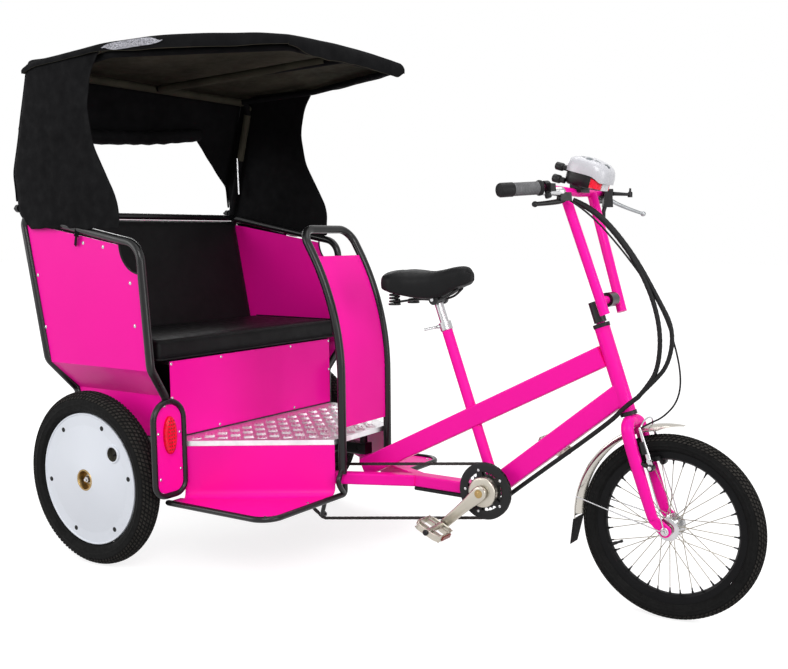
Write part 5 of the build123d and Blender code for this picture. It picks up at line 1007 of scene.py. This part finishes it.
# Cables: the source's routes, with a second strand forward of the head tube, and the front brake's cable
CABLE_STEER = ((1452, -66, 1136), (1496, -58, 1118), (1560, -52, 1060), (1626, -48, 976), (1676, -46, 880),
               (1700, -46, 784), (1694, -46, 694), (1668, -44, 648), (1640, -42.6, 614))
CABLE_FRAME = ((1640, -42.6, 614), (1594, -38, 578), (1556, -19, 536), (1266, -15, 308), (1208, -22, 258),
               (1120, -12, 256), (900, -12, 257.7))
STRAND = ((1448, -58, 1140), (1494, -50, 1122), (1560, -45, 1064), (1628, -41, 978), (1684, -39, 884),
          (1733, -40, 800), (1722, -42, 706), (1676, -44, 652), (1640, -42.6, 616))
CABLE_BRAKE = ((1440, -120, 1150), (1500, -100, 1118), (1600, -60, 1000), (1690, -34, 868), (1734, -30, 760),
               (1754, -30, 668), (1744, -30, 606), (1706, -32, 562), (1672, -38, 545), (1651, -47, 531))
bundle = Piece()
for points, radius in ((CABLE_STEER, 6.4), (STRAND, 6)):
    line = nurbs_points(points, 14)
    bundle.tube(line, [radius * (1 + 0.05 * math.sin(2.4 * k)) for k in range(len(line))], 14)
obj = bundle.done("steering_cable_bundle", ["rubber"])
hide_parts("steering_cables")
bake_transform(obj)
bundle = Piece()
bundle.tube(nurbs_points(CABLE_FRAME, 16), 6.6, 14)
bundle.settle("frame_cable_bundle", ["rubber"], "chassis", "cable_rubber", "frame_cables")
thin = Piece()
thin.tube(nurbs_points(CABLE_BRAKE, 12), 2.5, 10)
thin.settle("brake_cable", ["rubber"], "steering", "cable_rubber")

# Lamp and display pod: a domed shell that comes down round the front lenses, over a black body
POD_X, POD_HALF_L, POD_HALF_W, POD_TOP, POD_RIM = 1467, 58, 56, 1262, 1213
POD_SQUARE = 0.6
POD_RINGS = ((0.02, 1.0), (0.25, 1.0), (0.5, 0.985), (0.76, 0.94), (0.88, 0.86), (0.95, 0.72), (0.985, 0.52))
POD_EDGE = ((0.93, 0.0), (0.995, 0.0), (1.0, 0.06), (1.0, 0.3))
POD_BODY = ((1176, 0.55), (1176.5, 0.86), (1182, 0.96), (1196, 1.0), (1214, 1.0), (1215, 0.6))
POD_WINDOWS = ((-18, -37, 15, 17), (3, -37, 15, 17), (24, -34, 15, 18), (43, -14, 12, 26))
POD_PITCH_DEG, POD_SCALE = 15, (1.1, 1.0, 0.96)


def pod_outline(x, half_l, half_w, turn, grow, z):
    """A point of an outline between an ellipse and a box, round a place on the middle line."""
    return (x + half_l * power(math.cos(turn), POD_SQUARE) * grow,
            half_w * power(math.sin(turn), POD_SQUARE) * grow, z)


def pod_dome(x, y):
    """The height of the shell's crown, from its own middle."""
    return POD_TOP - 0.0036 * (x + 10) ** 2 - 0.0012 * y * y


def pod_spot(turn, grow, share):
    """A point of the shell: turn round it, share of the way out, share of its height."""
    x, y, _ = pod_outline(0, POD_HALF_L, POD_HALF_W, turn, grow, 0)
    low = POD_RIM - 13 * unit((x - 16) / 30) ** 2
    return (POD_X + x, y, low + (pod_dome(x, y) - low) * share)


def pod_top(x, y):
    """The shell's height above a place of it."""
    grow = (abs(x / POD_HALF_L) ** (1 / POD_SQUARE) + abs(y / POD_HALF_W) ** (1 / POD_SQUARE)) ** POD_SQUARE
    return POD_RIM + (pod_dome(x, y) - POD_RIM) * between(POD_RINGS, grow)


def pod_lens(piece, first, last, low, high, slot, reach):
    """A curved lens round the body's front between two turns in degrees and two heights."""
    rows = []
    for k in range(13):
        a = math.radians(first + (last - first) * k / 12)
        bow = reach * (0.97 if k in (0, 12) else 1.0)
        ring = ((low, 0.9), (low + 2, bow), (high - 2, bow), (high, 0.9), (high - 4, 0.8), (low + 4, 0.8))
        rows.append([pod_outline(1462, 52, 54, a, grow, z) for z, grow in ring])
    piece.grid(rows, slot, wrap=True)
    piece.add(rows[0], [(0, 1, 2, 3, 4, 5)], slot)
    piece.add(rows[-1], [(5, 4, 3, 2, 1, 0)], slot)


pod = Piece()
shell = (*POD_EDGE, *POD_RINGS[::-1])
pod.grid([[pod_spot(a, grow, share) for a in turns(56)] for grow, share in shell], wrap=True)
pod.grid([[pod_outline(1460, 47, 51, a, grow, z) for a in turns(48)] for z, grow in POD_BODY], 1, wrap=True)
for way in (1, -1):
    pod_lens(pod, way * 14, way * 66, 1180, 1207, 2, 1.03)
pod_lens(pod, -13, 13, 1178, 1206, 3, 1.04)
for x, y, long, wide in POD_WINDOWS:
    window = [[(x - long / 2 + long * a / 5, y - wide / 2 + wide * b / 5) for b in range(6)]
              for a in range(6)]
    pod.grid([[(POD_X + u, v, pod_top(u, v) + 0.9) for u, v in row] for row in window], 4)
for z, r in ((1217, 11.5), (1182, 12)):
    knob = ((0, r * 0.7), (12, r * 0.7), (12.5, r * 0.9), (15, r), (31, r), (33, r - 2), (33, 0))
    pod.disc((1420, -38, z), (-1, 0, 0), knob, 20, 1)
pivot = Vector((1452, 0, 1204))
tilt = about("Y", POD_PITCH_DEG) @ Matrix.Diagonal(POD_SCALE)
pod.verts = [pivot + tilt @ (v - pivot) for v in pod.verts]
pod.box((1440, 0, 1176), (34, 58, 30), 1)
pod.settle("lamp_pod_shell", ["white", "plastic", "red", "clear", "screen"], "steering", "white_plastic",
           "lamp_pod", sharp=45)

# Grips: a capped end, a ribbed body and a flange
GRIP_IN, GRIP_END = (1420, 203, 1167), (1365, 320, 1158)
FLANGE = ((0, 12.5), (0.5, 20), (5, 20.5), (8, 18), (12, 16.5))
GRIP_RIB = ((0.8, 17.2), (3.4, 17.2), (4.2, 16.3), (5, 16.3))
RIBBED_SHARE = 0.7


def grip_ends(sign):
    return (Vector((x, sign * y, z)) for x, y, z in (GRIP_IN, GRIP_END))


grips = Piece()
for sign, _ in SIDES:
    inner, end = grip_ends(sign)
    along = end - inner
    ribs = [FLANGE[-1]]
    while ribs[-1][0] < along.length * RIBBED_SHARE:
        from_flange = ribs[-1][0]
        ribs += [(from_flange + s, r) for s, r in GRIP_RIB]
    left = along.length + 4.5 - ribs[-1][0]
    cap = ((0, 16.3), (0.5, 18.5), (left - 6, 18.5), (left - 2, 16.5), (left, 12.5), (left, 0))
    grips.disc(inner, along, FLANGE, 32, 1)
    grips.disc(inner, along, ribs, 32)
    grips.disc(inner + along.normalized() * ribs[-1][0], along, cap, 32, 1)
grips.settle("grip_sleeves", ["grip", "rubber"], "steering", "grip_rubber", "grips", sharp=30)

# Levers: a black one with a round end and a bright cover on the right, a bright one with a ball on the left
LEVER_CLAMP = ((0, 11.3), (0, 16.5), (2, 18), (14, 18), (16, 16.5), (16, 11.3))
CABLE_STOP = ((0, 9), (14, 9), (16, 7), (16, 0))
RIGHT_LEVER = ((1466, -136, 1147), (1456, -152, 1135), (1436, -182, 1129), (1411, -215, 1125))
LEFT_LEVER = ((1452, 178, 1148), (1470, 205, 1134), (1494, 240, 1120), (1519, 281, 1107))
COVER = ((1464, -146, 1158), (1444, -168, 1158), (1416, -202, 1153))
COVER_R = (6, 10.5, 12.5, 13, 12.8, 12.2, 11.5, 10.5, 9.5, 8.5, 7.5, 6, 4)
SWITCH = ((0, 7), (14, 7), (16, 5), (16, 3.5), (26, 3), (26, 0))


def lever(piece, points, thick, loss, half_h, ball_r, slot):
    """A tapered lever and the ball at its end."""
    line = smooth_curve(points, 6)
    piece.tube(line, [thick - loss * k / (len(line) - 1) for k in range(len(line))], 14, slot)
    ball = [(half_h - half_h * math.cos(math.pi * k / 10), ball_r * math.sin(math.pi * k / 10))
            for k in range(11)]
    piece.disc(line[-1] - Vector((0, 0, half_h)), (0, 0, 1), ball, 16, slot)


levers = Piece()
for sign, _ in SIDES:
    inner, end = grip_ends(sign)
    along = (end - inner).normalized()
    clamp = inner - along * 26
    front = Vector((0.9, sign * 0.43, 0)).normalized()
    levers.turned(clamp, along, LEVER_CLAMP, 28)
    levers.disc(clamp + along * 8 + Vector((4, 0, -12)), (0.35, 0, -1), CABLE_STOP, 18)
    turn = about("Z", math.degrees(math.atan2(front.y, front.x)))
    levers.box(clamp + along * 8 + front * 20, (26, 18, 20), 0, turn, 0.85)
lever(levers, RIGHT_LEVER, 8.5, 2.8, 8, 8.5, 0)
levers.box((1462, -146, 1146), (24, 34, 22), 0, about("Z", -35), 0.9)
levers.tube(smooth_curve(COVER, 6), COVER_R, 14, 1)
lever(levers, LEFT_LEVER, 6.2, 1.6, 7.5, 8, 2)
levers.box((1450, 174, 1150), (28, 26, 50), 0, about("Z", 35), 0.8)
levers.tube([(1446, 168, 1134), (1444, 160, 1112), (1450, 150, 1092)], [7, 6, 4.5], 12)
levers.tube([(1462, 190, 1164), (1500, 222, 1162)], [6, 4.5], 10)
levers.disc((1500, 222, 1154), (0, 0, 1), SWITCH, 12)
levers.settle("brake_lever_set", ["plastic", "steel", "motor"], "steering", "bright_steel", "brake_levers",
              sharp=45)

# Floor: raised bars in crossing groups of three, clear of the plate's edges
FLOOR_OUT = ((242, 398), (303, 398), (686, 146))
FLOOR_Z, BARS_X = 412, (272, 672)
CELL, BAR_L, BAR_W, BAR_H, BAR_STEP = 40.0, 33.0, 6.4, 1.6, 11.5
BAR_OUTLINE = ((-0.5, 0), (-0.36, -0.5), (0.36, -0.5), (0.5, 0), (0.36, 0.5), (-0.36, 0.5))
bars = Piece()
for i in range(-16, 30):
    for j in range(-24, 25):
        turn = math.pi / 4 * (1 if (i + j) % 2 else -1)
        spin = Matrix.Rotation(turn, 3, "Z")
        for shift in (-BAR_STEP, 0, BAR_STEP):
            x = 460 + (i - j) * CELL * math.cos(math.pi / 4) - shift * math.sin(turn)
            y = (i + j) * CELL * math.cos(math.pi / 4) + shift * math.cos(turn)
            if not BARS_X[0] < x < BARS_X[1] or abs(y) > between(FLOOR_OUT, x + 14) - 22:
                continue
            bars.prism(*([Vector((x, y, FLOOR_Z + z)) + spin @ Vector((u * BAR_L * long, v * BAR_W * wide, 0))
                          for u, v in BAR_OUTLINE] for z, wide, long in ((0, 1.0, 1.0), (BAR_H, 0.45, 0.88))),
                       bottom=False)
bars.settle("floor_tread_bars", ["plate"], "chassis", "tread_plate", sharp=30)

# Camera, fitted to the photograph
CAMERA_PLACE = (1.7778, -2.5560, 1.0520)
CAMERA_AZIMUTH = math.radians(31.0985)
CAMERA_PITCH = math.radians(-7.3119)
camera = bpy.data.objects.new("camera", bpy.data.cameras.new("camera"))
bpy.context.scene.collection.objects.link(camera)
camera.location = CAMERA_PLACE
camera.rotation_euler = (math.pi / 2 + CAMERA_PITCH, 0, CAMERA_AZIMUTH)
camera.data.sensor_width = 36
camera.data.sensor_fit = "HORIZONTAL"
camera.data.lens = 45.537
camera.data.shift_x = -0.08146
camera.data.shift_y = 0.03297
bpy.context.scene.camera = camera

# Lamps: name, place, target, size and power
LAMPS = (
    ("key", (2.6, -3.4, 3.4), (0, 0, 0.7), (2.6, 2.0), 118),
    ("front", (4.6, -0.6, 1.5), (0, 0, 0.6), (2.2, 2.0), 66),
    ("fill", (-2.6, -3.4, 2.0), (0, 0, 0.8), (2.4, 2.0), 60),
    ("top", (0.2, 0.4, 4.4), (0.1, 0, 0.6), (3.4, 3.0), 78),
    ("rear", (-3.6, 2.4, 2.6), (0, 0, 0.8), (2.2, 1.8), 48),
)
for name, place, target, size, strength in LAMPS:
    light = bpy.data.lights.new(name, "AREA")
    light.shape = "RECTANGLE"
    light.size, light.size_y = size
    light.energy = strength
    lamp = bpy.data.objects.new(name, light)
    bpy.context.scene.collection.objects.link(lamp)
    lamp.location = place
    lamp.rotation_euler = (Vector(target) - Vector(place)).to_track_quat("-Z", "Y").to_euler()


# World and floor
def shows_white(tree):
    """One for the rays that see the backdrop: from the camera, from gloss and through glass."""
    path = node(tree, "LightPath")
    most = path.outputs["Is Camera Ray"]
    for kind in ("Is Glossy Ray", "Is Transmission Ray"):
        pick = node(tree, "Math")
        pick.operation = "MAXIMUM"
        tree.links.new(most, pick.inputs[0])
        tree.links.new(path.outputs[kind], pick.inputs[1])
        most = pick.outputs["Value"]
    return most


WORLD_LIGHT = 0.42
WHITE = (1, 1, 1, 1)
world = bpy.data.worlds.new("studio")
bpy.context.scene.world = world
world.use_nodes = True
tree = world.node_tree
mix = node(tree, "MixShader")
tree.links.new(shows_white(tree), mix.inputs[0])
for k, strength in ((1, WORLD_LIGHT), (2, 1.0)):
    tree.links.new(node(tree, "Background", Color=WHITE, Strength=strength).outputs[0], mix.inputs[k])
tree.links.new(mix.outputs[0], tree.nodes["World Output"].inputs["Surface"])

FLOOR_HALF = 30.0
FLOOR_NEAR, FLOOR_FAR, NEAR_GLOW = 1.6, 5.0, 0.78
floor_mesh = bpy.data.meshes.new("floor")
corners = [(x * FLOOR_HALF, y * FLOOR_HALF, 0) for x, y in ((-1, -1), (1, -1), (1, 1), (-1, 1))]
floor_mesh.from_pydata(corners, [], [(0, 1, 2, 3)])
floor = bpy.data.objects.new("floor", floor_mesh)
bpy.context.scene.collection.objects.link(floor)
pale = bpy.data.materials.new("pale_floor")
pale.use_nodes = True
tree = pale.node_tree
tree.nodes.clear()
matte = node(tree, "BsdfDiffuse", Color=(0.4, 0.4, 0.4, 1))
glow = node(tree, "Emission", Color=WHITE)
lift = node(tree, "Math")
lift.operation = "MULTIPLY"
reach = node(tree, "VectorMath")
reach.operation = "LENGTH"
far = node(tree, "MapRange", From_Min=FLOOR_NEAR, From_Max=FLOOR_FAR, To_Min=NEAR_GLOW, To_Max=1.0)
both = node(tree, "AddShader")
tree.links.new(node(tree, "TexCoord").outputs["Object"], reach.inputs[0])
tree.links.new(reach.outputs["Value"], far.inputs["Value"])
tree.links.new(shows_white(tree), lift.inputs[0])
tree.links.new(far.outputs["Result"], lift.inputs[1])
tree.links.new(lift.outputs[0], glow.inputs["Strength"])
tree.links.new(matte.outputs[0], both.inputs[0])
tree.links.new(glow.outputs[0], both.inputs[1])
tree.links.new(both.outputs[0], node(tree, "OutputMaterial").inputs["Surface"])
floor_mesh.materials.append(pale)
bpy.context.scene.view_settings.view_transform = "Standard"
